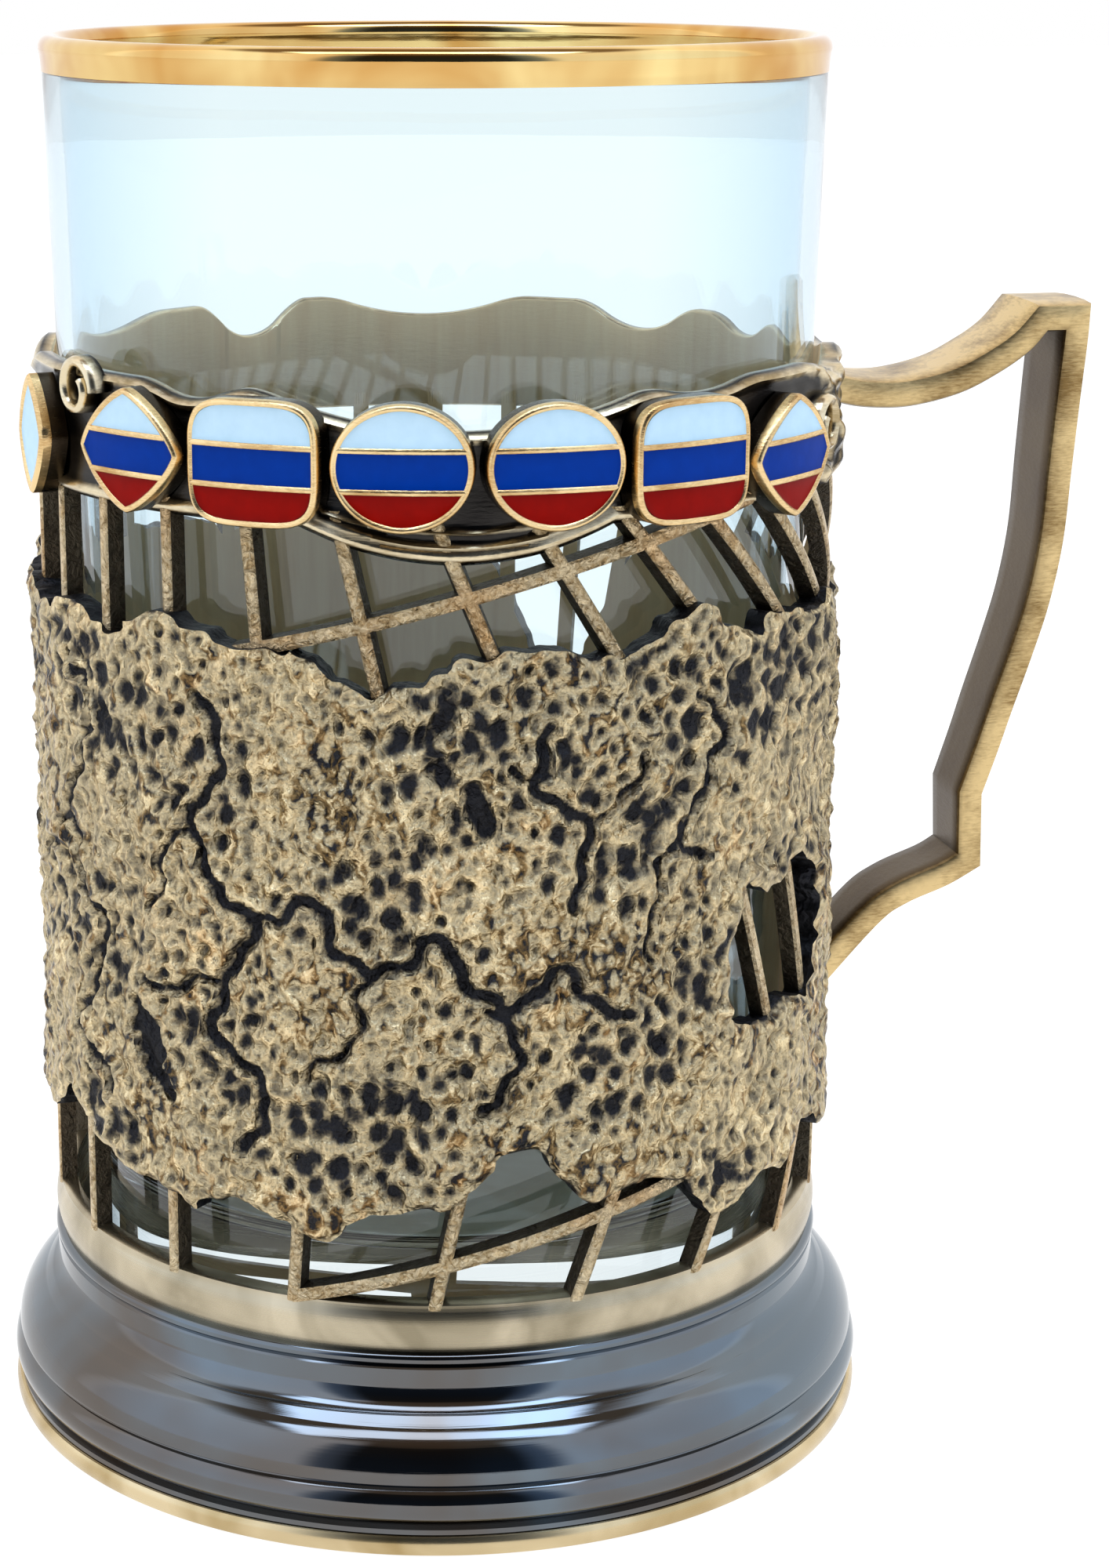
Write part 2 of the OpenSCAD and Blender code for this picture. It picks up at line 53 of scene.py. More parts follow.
shared = {"bandLow": 86.2, "bandHigh": 96.2, "hoopLow": 16.4, "hoopTop": 20.4, "barWidth": 1.5}
shared["boreR"] = glassR(shared["bandHigh"]) + glass["gap"]
for word, wallMm in [("barR", 1.6), ("reliefR", 2.4), ("bandR", 1.8), ("plaqueR", 3.8), ("cellR", 3.2)]:
    shared[word] = shared["boreR"] + wallMm


# Meshes

def toPoint(angle, radius, height):
    polar = np.radians(np.asarray(angle, float) + faceTurn)
    return np.stack(np.broadcast_arrays(radius * np.cos(polar), radius * np.sin(polar), height), -1) / 1000


def newObject(name, data):
    made = bpy.data.objects.new(name, data)
    bpy.context.scene.collection.objects.link(made)
    return made


def showSmooth(mesh, sharpAngle):
    mesh.shade_smooth()
    mesh.set_sharp_from_angle(angle=math.radians(sharpAngle))


def makeMesh(name, points, faces, sharpAngle=35, corners=None):
    # corners holds one value for each face corner, kept as the attribute "patina"
    mesh = bpy.data.meshes.new(name)
    mesh.from_pydata(np.asarray(points, float).tolist(), [], faces)
    if corners is not None:
        attribute = mesh.attributes.new("patinaAndShade", "FLOAT", "CORNER")
        attribute.data.foreach_set("value", np.asarray(corners, np.float32))
    showSmooth(mesh, sharpAngle)
    return newObject(name, mesh)


def finishPiece(piece, body, material, slot, *nodes):
    piece.data.materials.clear()
    piece.data.materials.append(material)
    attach(piece, body)
    if nodes:
        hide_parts(*nodes)
    return piece


def finishCast(piece, material):
    return finishPiece(piece, "holder", material, "antique_cast_brass", "sleeve")


def gridFaces(rows, columns, closeRows=True, closeColumns=True):
    # Quads of a grid of points, whose rows and columns meet round a ring or end
    return [(i * columns + k, i * columns + n, j * columns + n, j * columns + k)
            for i in range(rows if closeRows else rows - 1) for j in [(i + 1) % rows]
            for k in range(columns if closeColumns else columns - 1) for n in [(k + 1) % columns]]


def sweptFaces(count, n):
    # Faces of a closed bar along count lines of n points each, which stand one after another
    ends = [tuple(s * n for s in range(count)), tuple(s * n + n - 1 for s in reversed(range(count)))]
    return gridFaces(count, n, closeColumns=False) + ends


def sweptBar(name, lines):
    # A closed bar through lines of points that run side by side round its section
    return makeMesh(name, np.concatenate(lines), sweptFaces(len(lines), len(lines[0])))


def cornersIn(faces):
    return sum(len(face) for face in faces)


def joinShells(parts):
    # Several closed shells, each a pair of points and faces, as one list of points and faces
    points, faces, start = [], [], 0
    for shellPoints, shellFaces in parts:
        points.append(shellPoints)
        faces += [tuple(i + start for i in face) for face in shellFaces]
        start += len(shellPoints)
    return np.concatenate(points), faces


def arcPoints(centreR, centreZ, radius, fromAngle, toAngle, steps):
    turns = np.radians(np.linspace(fromAngle, toAngle, steps + 1))
    return [(centreR + radius * math.cos(t), centreZ + radius * math.sin(t)) for t in turns]


def traced(parts):
    # A profile from points, and from arcs given as centre, radius, two angles and steps
    return [point for part in parts for point in ([part] if len(part) == 2 else arcPoints(*part))]


def lathe(name, parts, segments=256, sharpAngle=35):
    # The profile runs up the outside and down the inside. Points on the axis close the shape at a pole.
    profile = traced(parts)
    onAxis = [radius < 1e-6 for radius, _ in profile]
    ringStart, points = [], []
    turns = np.arange(segments) * 2 * math.pi / segments
    for (radius, height), pole in zip(profile, onAxis):
        ringStart.append(len(points))
        points += [(radius * math.cos(t) / 1000, radius * math.sin(t) / 1000, height / 1000)
                   for t in ([0] if pole else turns)]
    faces = []
    for i in range(len(profile) - (onAxis[0] and onAxis[-1])):
        j = (i + 1) % len(profile)
        a, b = ringStart[i], ringStart[j]
        for k in range(segments):
            n = (k + 1) % segments
            if onAxis[i]:
                faces.append((a, b + n, b + k))
            elif onAxis[j]:
                faces.append((a + k, a + n, b))
            else:
                faces.append((a + k, a + n, b + n, b + k))
    return makeMesh(name, points, faces, sharpAngle)


def waves(x, y, z, size, seed, count=10):
    # Smooth uneven field of about -1 to 1 whose bumps are size millimetres apart
    rng = np.random.default_rng(seed)
    total = np.zeros(np.broadcast(x, y, z).shape)
    for _ in range(count):
        direction = rng.normal(size=3)
        direction *= 2 * math.pi / (size * rng.uniform(0.7, 1.5)) / np.linalg.norm(direction)
        total += np.sin(direction[0] * x + direction[1] * y + direction[2] * z + rng.uniform(0, 6.28))
    return total / math.sqrt(count)


# Nodes

def hexColor(text):
    # sRGB hex to the linear values of the shader sockets
    parts = [int(text[i:i + 2], 16) / 255 for i in (0, 2, 4)]
    return tuple(c / 12.92 if c <= 0.04045 else ((c + 0.055) / 1.055) ** 2.4 for c in parts) + (1.0,)


def emptyTree(owner):
    owner.use_nodes = True
    owner.node_tree.nodes.clear()
    return owner.node_tree


def feed(tree, node, sockets):
    # Values and links for sockets, in order or by the keys of a dictionary
    for key, value in sockets.items() if isinstance(sockets, dict) else enumerate(sockets):
        if isinstance(value, bpy.types.NodeSocket):
            tree.links.new(value, node.inputs[key])
        else:
            node.inputs[key].default_value = value


def addNode(tree, kind, sockets=(), output=0, stops=(), **settings):
    # Adds a node and gives back one of its outputs. Its operation may follow the kind, as in "Math ADD".
    kind, _, operation = kind.partition(" ")
    node = tree.nodes.new(kind if kind.startswith(("Geometry", "NodeGroup")) else "ShaderNode" + kind)
    if operation:
        node.operation = operation
    for key, value in settings.items():
        setattr(node, key, value)
    feed(tree, node, sockets)
    for _ in stops[2:]:
        node.color_ramp.elements.new(0.5)
    for i, (place, color) in enumerate(stops):
        node.color_ramp.elements[i].position = place
        node.color_ramp.elements[i].color = hexColor(color)
    return node.outputs[output] if node.outputs else node


# Materials

def newMaterial(name, sockets):
    material = bpy.data.materials.new(name)
    tree = emptyTree(material)
    shader = addNode(tree, "BsdfPrincipled", sockets).node
    addNode(tree, "OutputMaterial", {0: shader.outputs[0]})
    place = addNode(tree, "TexCoord").node.outputs
    mm = addNode(tree, "Mapping", {"Vector": place["Object"], "Scale": (1000, 1000, 1000)})
    return material, tree, shader, place, mm


def outwardFacing(tree, place):
    # How far a surface looks straight out from the axis: 1 out, 0 sideways, -1 inwards
    level = addNode(tree, "VectorMath MULTIPLY", (place["Object"], (1, 1, 0)))
    radial = addNode(tree, "VectorMath NORMALIZE", [level])
    return addNode(tree, "VectorMath DOT_PRODUCT", (radial, place["Normal"]), "Value")


def brushedBorePaintedLight(tree, facing, mm, color, roughness):
    # The bore side is bare brass with upright brush marks, and a film of oxide leaves it hardly a mirror; its
    # colour is painted lighter than the brass, as painted light for the dim bore behind the glass
    upright = addNode(tree, "Mapping", {"Vector": mm, "Scale": (0.5, 0.5, 0.04)})
    marks = addNode(tree, "TexNoise", {"Vector": upright, "Scale": 1.0, "Detail": 5.0, "Roughness": 0.65})
    # Painted light: these tones are lighter than the brass is, standing in for light that the glass keeps from
    # the bore
    tone = addNode(tree, "ValToRGB", [marks], stops=[(0.3, "efc28c"), (0.7, "ffdcaa")])
    inward = addNode(tree, "MapRange", (facing, -0.6, -0.8))
    return {"Base Color": addNode(tree, "Mix", {0: inward, 6: color, 7: tone}, 2, data_type="RGBA"),
            "Roughness": addNode(tree, "Math MULTIPLY_ADD", (inward, 0.3, roughness)),
            "Metallic": addNode(tree, "Math MULTIPLY_ADD", (inward, -0.9, 1.0))}


def makeCastBrass(name, dimpleMm, dimpled, darkShare, light, tan, brown, dark):
    # Sand cast brass, blackened and then rubbed: tan where it stands proud, blue black where it doesn't.
    # Dimples with ridges between them give it the look of hammered leather.
    # The attribute "patina" passes 0.5 at the edge of a pit, channel or hole that keeps its black.
    material, tree, shader, place, mm = newMaterial(name, {"Metallic": 1.0})
    bend = addNode(tree, "TexNoise", {"Vector": mm, "Scale": 0.45, "Detail": 3.0}, "Color")
    shifted = addNode(tree, "VectorMath MULTIPLY_ADD", (bend, (3.2, 3.2, 3.2), mm))
    crease = addNode(tree, "TexNoise", {"Vector": shifted, "Scale": 1 / dimpleMm, "Detail": 4.0,
                                        "Roughness": 0.6, "Distortion": 0.7})
    # The dimples are drawn out along a slant
    slant = addNode(tree, "Mapping", {"Vector": shifted, "Scale": (1, 1, 0.55), "Rotation": (0.5, 0.45, 0)})
    dimple = addNode(tree, "TexVoronoi", {"Vector": slant, "Scale": 1.15 / dimpleMm, "Smoothness": 0.3,
                                          "Randomness": 1.0}, "Distance", feature="SMOOTH_F1")
    folds = addNode(tree, "Mix", {0: dimpled, 2: crease, 3: dimple}, data_type="FLOAT")
    grain = addNode(tree, "TexNoise", {"Vector": mm, "Scale": 3.4, "Detail": 3.0})
    skin = addNode(tree, "Math MULTIPLY_ADD", (grain, 0.2, folds))
    # Some patches of the casting are more worn than others
    patches = addNode(tree, "TexNoise", {"Vector": mm, "Scale": 0.07, "Detail": 2.0})
    worn = addNode(tree, "Math MULTIPLY_ADD", (patches, 0.3, skin))
    low = 0.58 + 0.25 * darkShare
    tone = addNode(tree, "ValToRGB", [worn], stops=[
        (low, dark), (low + 0.07, brown), (low + 0.17, tan), (low + 0.3, light)])
    # Warm blushes of copper where the casting was heated
    clouds = addNode(tree, "TexNoise", {"Vector": mm, "Scale": 0.11, "Detail": 3.0})
    blush = addNode(tree, "MapRange", (clouds, 0.52, 0.7, 0.0, 0.4))
    warm = addNode(tree, "Mix", {0: blush, 6: tone, 7: hexColor("ffcf94")}, 2, data_type="RGBA",
                   blend_type="MULTIPLY")
    held = addNode(tree, "Attribute", output="Fac", attribute_name="patinaAndShade")
    edge = addNode(tree, "Math ADD", (addNode(tree, "Math MULTIPLY_ADD", (skin, -0.5, held)), 0.305))
    black = addNode(tree, "MapRange", (edge, 0.36, 0.76), interpolation_type="SMOOTHSTEP")
    # A painted highlight: a bright line along the edges of pits, channels and holes, where a rounded edge would
    # catch the light
    lip = addNode(tree, "MapRange", (edge, 0.22, 0.36, 0.0, 0.65))
    paintedEdgeHighlight = addNode(tree, "Mix", {0: lip, 6: warm, 7: hexColor(light)}, 2, data_type="RGBA")
    # Walls that don't face outward keep their black
    facing = outwardFacing(tree, place)
    allDark = addNode(tree, "Math MAXIMUM", (black, addNode(tree, "MapRange", (facing, 0.5, 0.86, 0.94, 0.0))))
    outside = addNode(tree, "Mix", {0: allDark, 6: paintedEdgeHighlight, 7: hexColor(dark)}, 2, data_type="RGBA")
    rough = addNode(tree, "MapRange", (allDark, 0.0, 1.0, 0.28, 0.5))
    carved = addNode(tree, "MapRange", (facing, -0.6, 1.0, 0.0, 0.9))
    hammered = addNode(tree, "Bump", {"Height": skin, "Strength": carved, "Distance": 0.0011})
    feed(tree, shader, {**brushedBorePaintedLight(tree, facing, mm, outside, rough), "Normal": hammered})
    return material


def makeRubbedBrass(name, light, mid, dark, roughness, brushSize, darkInside, borePaintedLight=False):
    # Brass that is patinated and rubbed back: the attribute "patina" is 1 where the black stays, and on the
    # handle's inner face it is painted shade
    material, tree, shader, place, mm = newMaterial(name, {"Metallic": 1.0})
    drawn = addNode(tree, "Mapping", {"Vector": mm, "Scale": (1, 1, 5)})
    brush = addNode(tree, "TexNoise", {"Vector": drawn, "Scale": 1 / brushSize, "Detail": 5.0,
                                       "Roughness": 0.6})
    cloud = addNode(tree, "TexNoise", {"Vector": mm, "Scale": 0.16, "Detail": 4.0})
    both = addNode(tree, "Math MULTIPLY_ADD", (brush, 0.5, cloud))
    tone = addNode(tree, "ValToRGB", [both], stops=[(0.55, mid), (0.85, light)])
    specks = addNode(tree, "TexNoise", {"Vector": mm, "Scale": 1.6, "Detail": 4.0})
    held = addNode(tree, "Attribute", output="Fac", attribute_name="patinaAndShade")
    worn = addNode(tree, "Math MULTIPLY_ADD", (specks, 0.3, held), use_clamp=True)
    black = addNode(tree, "MapRange", (worn, 0.2, 0.9, 0.0, darkInside))
    outside = addNode(tree, "Mix", {0: black, 6: tone, 7: hexColor(dark)}, 2, data_type="RGBA")
    rough = addNode(tree, "MapRange", (brush, 0.0, 1.0, roughness - 0.07, roughness + 0.07))
    finish = {"Base Color": outside, "Roughness": rough}
    if borePaintedLight:
        finish = brushedBorePaintedLight(tree, outwardFacing(tree, place), mm, outside, rough)
    scratches = addNode(tree, "Bump", {"Height": brush, "Strength": 0.25, "Distance": 0.0001})
    feed(tree, shader, {**finish, "Normal": scratches})
    return material


def makeEnamel(name, color, shadow):
    # Fired glass enamel: even colour, painted darker next to the wires as painted shade, a soft gloss
    material, tree, shader, _, mm = newMaterial(name, {"Roughness": 0.32, "IOR": 1.13})
    cloud = addNode(tree, "TexNoise", {"Vector": mm, "Scale": 0.9, "Detail": 5.0})
    # Painted shade: the enamel is darker next to the wires
    held = addNode(tree, "Attribute", output="Fac", attribute_name="patinaAndShade")
    shadeByWires = addNode(tree, "Math MULTIPLY_ADD", (cloud, 0.5, held), use_clamp=True)
    tone = addNode(tree, "Mix", {0: shadeByWires, 6: hexColor(color), 7: hexColor(shadow)}, 2, data_type="RGBA")
    slow = addNode(tree, "Bump", {"Height": cloud, "Strength": 0.15, "Distance": 0.0001})
    feed(tree, shader, {"Base Color": tone, "Normal": slow})
    return material


def makePolishedMetal(name, light, dark, roughness, cloudSize, bare=1.0):
    # Turned and polished plate: cloudy tint of the plating, fine circular polishing marks.
    # Oxide over it leaves less of it bare.
    material, tree, shader, _, mm = newMaterial(name, {"Metallic": bare})
    cloud = addNode(tree, "TexNoise", {"Vector": mm, "Scale": 1 / cloudSize, "Detail": 3.0, "Distortion": 0.6})
    circles = addNode(tree, "Mapping", {"Vector": mm, "Scale": (0.05, 0.05, 6)})
    marks = addNode(tree, "TexNoise", {"Vector": circles, "Scale": 1.0, "Detail": 4.0})
    feed(tree, shader, {
        "Base Color": addNode(tree, "ValToRGB", [cloud], stops=[(0.35, dark), (0.65, light)]),
        "Roughness": addNode(tree, "MapRange", (marks, 0.0, 1.0, roughness * 0.7, roughness * 1.3)),
        "Normal": addNode(tree, "Bump", {"Height": marks, "Strength": 0.12, "Distance": 0.00005})})
    return material


def makeGlass():
    # Pressed soda glass: clear, smooth with slow waves in the wall, bluer where the eye looks along it
    material, tree, shader, _, mm = newMaterial("sodaGlass", {
        "Roughness": 0.0, "IOR": 1.5, "Transmission Weight": 1.0})
    along = addNode(tree, "LayerWeight", {"Blend": 0.5}, "Facing")
    slow = addNode(tree, "TexNoise", {"Vector": mm, "Scale": 0.06, "Detail": 1.0})
    feed(tree, shader, {
        "Base Color": addNode(tree, "ValToRGB", [along], stops=[(0.18, "f2fbfd"), (0.95, "b2d4ea")]),
        "Normal": addNode(tree, "Bump", {"Height": slow, "Strength": 0.2, "Distance": 0.0004})})
    return material


castBrass = makeCastBrass("antiqueCastBrass", 1.05, 0.55, 0.42, "f5e0b2", "947a52", "5c4c34", "2f2f32")
barBrass = makeCastBrass("rubbedBarBrass", 0.7, 0.15, -0.35, "dcc7a0", "b69c72", "8b7450", "39342d")
bandBrass = makeRubbedBrass("patinatedBandBrass", "e0d0ae", "a8946e", "1f2024", 0.24, 1.2, 0.97, True)
wireBrass = makeRubbedBrass("gildedWireBrass", "eed09a", "bd9660", "24211f", 0.25, 0.6, 0.95)
handleBrass = makeRubbedBrass("satinHandleBrass", "dcc08a", "8c7146", "40301c", 0.34, 0.9, 0.95)
whiteEnamel = makeEnamel("whiteEnamel", "bfd9e7", "9cbccd")
blueEnamel = makeEnamel("blueEnamel", "00328c", "00226a")
redEnamel = makeEnamel("redEnamel", "8a0903", "5a0502")
gunmetal = makePolishedMetal("gunmetalPlate", "6c767e", "635d58", 0.065, 22)
ringBrass = makePolishedMetal("turnedRingBrass", "dcc8a0", "ab9262", 0.25, 12)
hoopBrass = makePolishedMetal("creamHoopBrass", "ccbfa4", "958a72", 0.28, 9)
# The seat plate is pale cream and mostly not metallic: partly the colour of dull brass, partly painted light
# that lightens the view through the lower openings
seatBrassPaintedLight = makePolishedMetal("paleSeatBrassPaintedLight", "f2e6cc", "dcc9a4", 0.6, 8, 0.15)
gold = makePolishedMetal("burnishedGold", "f0d592", "c68e44", 0.08, 16)
clearGlass = makeGlass()
print("materials made")


# Openwork: the rules that the bars and the edges of the relief follow

openwork = {
    "lean": 1.15, "leanFrom": -45, "leanTo": 170, "tilt": 15,
    "reliefLow": 28.6, "reliefHigh": 76.0, "wave": 3.4, "railHeight": 1.0,
    # The deep bay at the back: angle, half width, depth in waves
    "backBay": (158, 13, 5),
    # Shares of a bar's width: its change from root to face, and at the root
    "draft": (-0.3, 1.05),
    "crown": 0.22,  # how far a bar's face falls at its sides
}


def turned(a):
    return (np.asarray(a, float) + 180) % 360 - 180


def swell(a, centre, width):
    return np.exp(-(turned(a - centre) / width) ** 2)


def sine(degrees):
    return np.sin(np.radians(degrees))


def teeth(a, phase):
    return (sine(11 * a + phase) + sine(19 * a + 3 * phase)) / 5


def reliefTop(a):
    bayAt, bayHalf, bayWaves = openwork["backBay"]
    return openwork["reliefHigh"] + openwork["wave"] * (
        teeth(a, 40) + 0.35 * sine(3 * a + 20) - 1.1 * swell(a, -3, 9) + 0.9 * swell(a, -40, 9)
        - 0.5 * swell(a, 20, 10) - bayWaves * swell(a, bayAt, bayHalf) + 0.7 * swell(a, -172, 9))


def reliefBottom(a):
    return openwork["reliefLow"] + openwork["wave"] * (
        teeth(a, 75) + 0.3 * sine(4 * a + 10) + 1.3 * swell(a, 12, 8) + 0.6 * swell(a, -62, 9)
        + 0.7 * swell(a, 140, 12) - 0.9 * swell(a, 44, 6))


def lineDistance(x, y, line, closed=False):
    # Distance to a line of points, negative inside it where it is closed
    line = np.asarray(line, float)
    ends = np.roll(line, -1, 0) if closed else line[1:]
    best, inside = np.full(x.shape, 1e9), np.zeros(x.shape, bool)
    for (ax, ay), (bx, by) in zip(line, ends):
        dx, dy = bx - ax, by - ay
        t = np.clip(((x - ax) * dx + (y - ay) * dy) / (dx * dx + dy * dy + 1e-12), 0, 1)
        best = np.minimum(best, np.hypot(x - ax - t * dx, y - ay - t * dy))
        if closed:
            inside ^= ((ay > y) != (by > y)) & (x < ax + dx * (y - ay) / (dy if dy else 1e-12))
    return np.where(inside, -best, best)


relief = {
    "gridMm": 0.32, "low": 22, "high": 84, "raggedMm": 0.35, "hillMm": 0.3, "wrinkleMm": 0.2,
    "setBack": 0.05, "lipMm": 0.16, "edgeMm": 0.3, "channelDepth": 0.6, "channelHalf": 0.56, "pitDepth": 0.42,
    # Crowds of pits and of small dimples: spacing, seed, largest size as a share of the spacing, and how
    # uneven they are, with the size and seed of that
    "crowds": [(2.15, 7, 0.47, 0.1, 1.3, 23), (1.4, 9, 0.33, 0.07, 1.0, 24)],
    # The side window and the two bars across it
    "window": {"angle": 57, "width": shared["barR"] / 2, "height": 14.22, "middle": 47.56, "barLean": 0.3,
               "bars": {"Left": -0.2, "Right": 0.24}, "shares": [
                   (-0.5, -0.32), (-0.22, -0.5), (0.05, -0.4), (0.34, -0.48), (0.5, -0.15),
                   (0.42, 0.3), (0.2, 0.5), (-0.08, 0.34), (-0.3, 0.42), (-0.46, 0.1)]},
    # Carved channels: width share, then angles and shares of the relief's height
    "channels": [
        (1.0, [(-33, 0.9), (-29, 0.83), (-34, 0.66), (-26, 0.5), (-31, 0.33), (-23, 0.18), (-27, 0.1)]),
        (1.0, [(-25, 0.5), (-16, 0.56), (-9, 0.43), (1, 0.5), (8, 0.37), (17, 0.43), (26, 0.33)]),
        (0.85, [(8, 0.38), (11, 0.27), (6, 0.2)]),
        (1.0, [(16, 0.86), (13, 0.78), (21, 0.66), (18, 0.55)]),
        (0.8, [(38, 0.9), (42, 0.8), (35, 0.68), (38, 0.6)]),
        (0.9, [(-60, 0.92), (-54, 0.8), (-61, 0.62), (-53, 0.42), (-58, 0.25), (-51, 0.14)]),
        (0.8, [(-62, 0.62), (-70, 0.52), (-78, 0.57), (-86, 0.43)]),
        (0.9, [(76, 0.92), (81, 0.76), (78, 0.58), (85, 0.36), (81, 0.18)]),
        (1.0, [(110, 0.92), (115, 0.75), (109, 0.5), (116, 0.3), (112, 0.16)]),
        (0.9, [(134, 0.9), (130, 0.7), (139, 0.48), (134, 0.28)]),
        (1.0, [(-168, 0.9), (-174, 0.68), (-166, 0.42), (-173, 0.18)]),
        (0.9, [(-138, 0.92), (-131, 0.74), (-139, 0.5), (-130, 0.28), (-136, 0.12)]),
        (1.0, [(-103, 0.92), (-98, 0.72), (-106, 0.52), (-99, 0.3), (-104, 0.14)]),
        # Fine forks
        (0.6, [(-34, 0.66), (-39, 0.6), (-42, 0.5)]),
        (0.6, [(-30, 0.42), (-38, 0.36), (-43, 0.38)]),
        (0.55, [(-9, 0.43), (-12, 0.3), (-17, 0.24)]),
        (0.6, [(10, 0.8), (14, 0.77)]),
        (0.55, [(20, 0.67), (25, 0.72), (29, 0.8)]),
        (0.6, [(35, 0.68), (29, 0.5), (31, 0.44)]),
        (0.6, [(81, 0.76), (89, 0.7), (93, 0.6)]),
        (0.6, [(-139, 0.5), (-148, 0.46), (-153, 0.36)]),
        (0.6, [(-98, 0.72), (-90, 0.68), (-84, 0.72)]),
    ],
    # Dark flat hollows: angle, height, half width, half height
    "hollows": [(-42, 40, 1.7, 4.2), (6, 63, 1.1, 2.8), (98, 58, 2.0, 3.4), (-150, 46, 1.8, 3.8)],
}


def curveThrough(points, steps):
    # A smooth curve through the points, with so many steps from each to the next
    points = np.asarray(points, float)
    padded = np.vstack([2 * points[0] - points[1], points, 2 * points[-1] - points[-2]])
    curve = []
    for i in range(1, len(padded) - 2):
        p0, p1, p2, p3 = padded[i - 1:i + 3]
        for t in np.arange(steps) / steps:
            curve.append(0.5 * (2 * p1 + (p2 - p0) * t + (2 * p0 - 5 * p1 + 4 * p2 - p3) * t * t
                                + (3 * p1 - p0 - 3 * p2 + p3) * t ** 3))
    return np.array(curve + [points[-1]])


def windingLine(shares, seed):
    # A channel's points: a smooth curve that winds about half a millimetre to each side
    rng = np.random.default_rng(seed)
    height = openwork["reliefHigh"] - openwork["reliefLow"]
    line = curveThrough([(math.radians(a) * shared["reliefR"], openwork["reliefLow"] + share * height)
                         for a, share in shares], 16)
    run = np.gradient(line, axis=0)
    across = np.stack([-run[:, 1], run[:, 0]], 1) / np.linalg.norm(run, axis=1)[:, None]
    far = np.cumsum(np.linalg.norm(run, axis=1))
    turns = rng.uniform(0, 6.28, 3)
    wander = sum(most * np.sin(far / size + turn)
                 for most, size, turn in zip((0.5, 0.35, 0.3), (1.15, 0.62, 2.3), turns))
    return line + across * wander[:, None]


def pitDistance(arc, z, spacing, seed, largest):
    # Signed distance in millimetres to the nearest of the scattered oval pits, negative inside it
    rng = np.random.default_rng(seed)
    around = 2 * math.pi * shared["reliefR"]
    columns, rows = round(around / spacing), int(100 / spacing)
    wide = around / columns
    dice = rng.random((columns, rows, 5))
    polar = (np.arange(columns) + 0.5) * 2 * math.pi / columns
    x, y = shared["reliefR"] * np.cos(polar), shared["reliefR"] * np.sin(polar)
    # Where a crowd is thin its pits have no size left
    crowd = waves(x[:, None], y[:, None], (np.arange(rows) * spacing)[None, :], 17, seed + 1)
    size = spacing * largest * np.clip(0.62 + 0.6 * crowd, -0.2, 1.1) * (0.6 + 0.4 * dice[:, :, 2])
    i, j = np.floor(arc / wide).astype(int), np.floor(z / spacing).astype(int)
    best = np.full(arc.shape, 9.0)
    for di in (-1, 0, 1):
        for dj in (-1, 0, 1):
            cell = (i + di) % columns, np.clip(j + dj, 0, rows - 1)
            pick = dice[cell]
            dx = arc - (i + di + 0.5 + 0.8 * (pick[..., 0] - 0.5)) * wide
            dz = z - (j + dj + 0.5 + 0.8 * (pick[..., 1] - 0.5)) * spacing
            tilt = 1.2 * (pick[..., 3] - 0.5)
            flat = dx * np.cos(tilt) + dz * np.sin(tilt)
            tall = (dz * np.cos(tilt) - dx * np.sin(tilt)) / (1.05 + 0.6 * pick[..., 4])
            best = np.minimum(best, np.hypot(flat, tall) - size[cell])
    return best


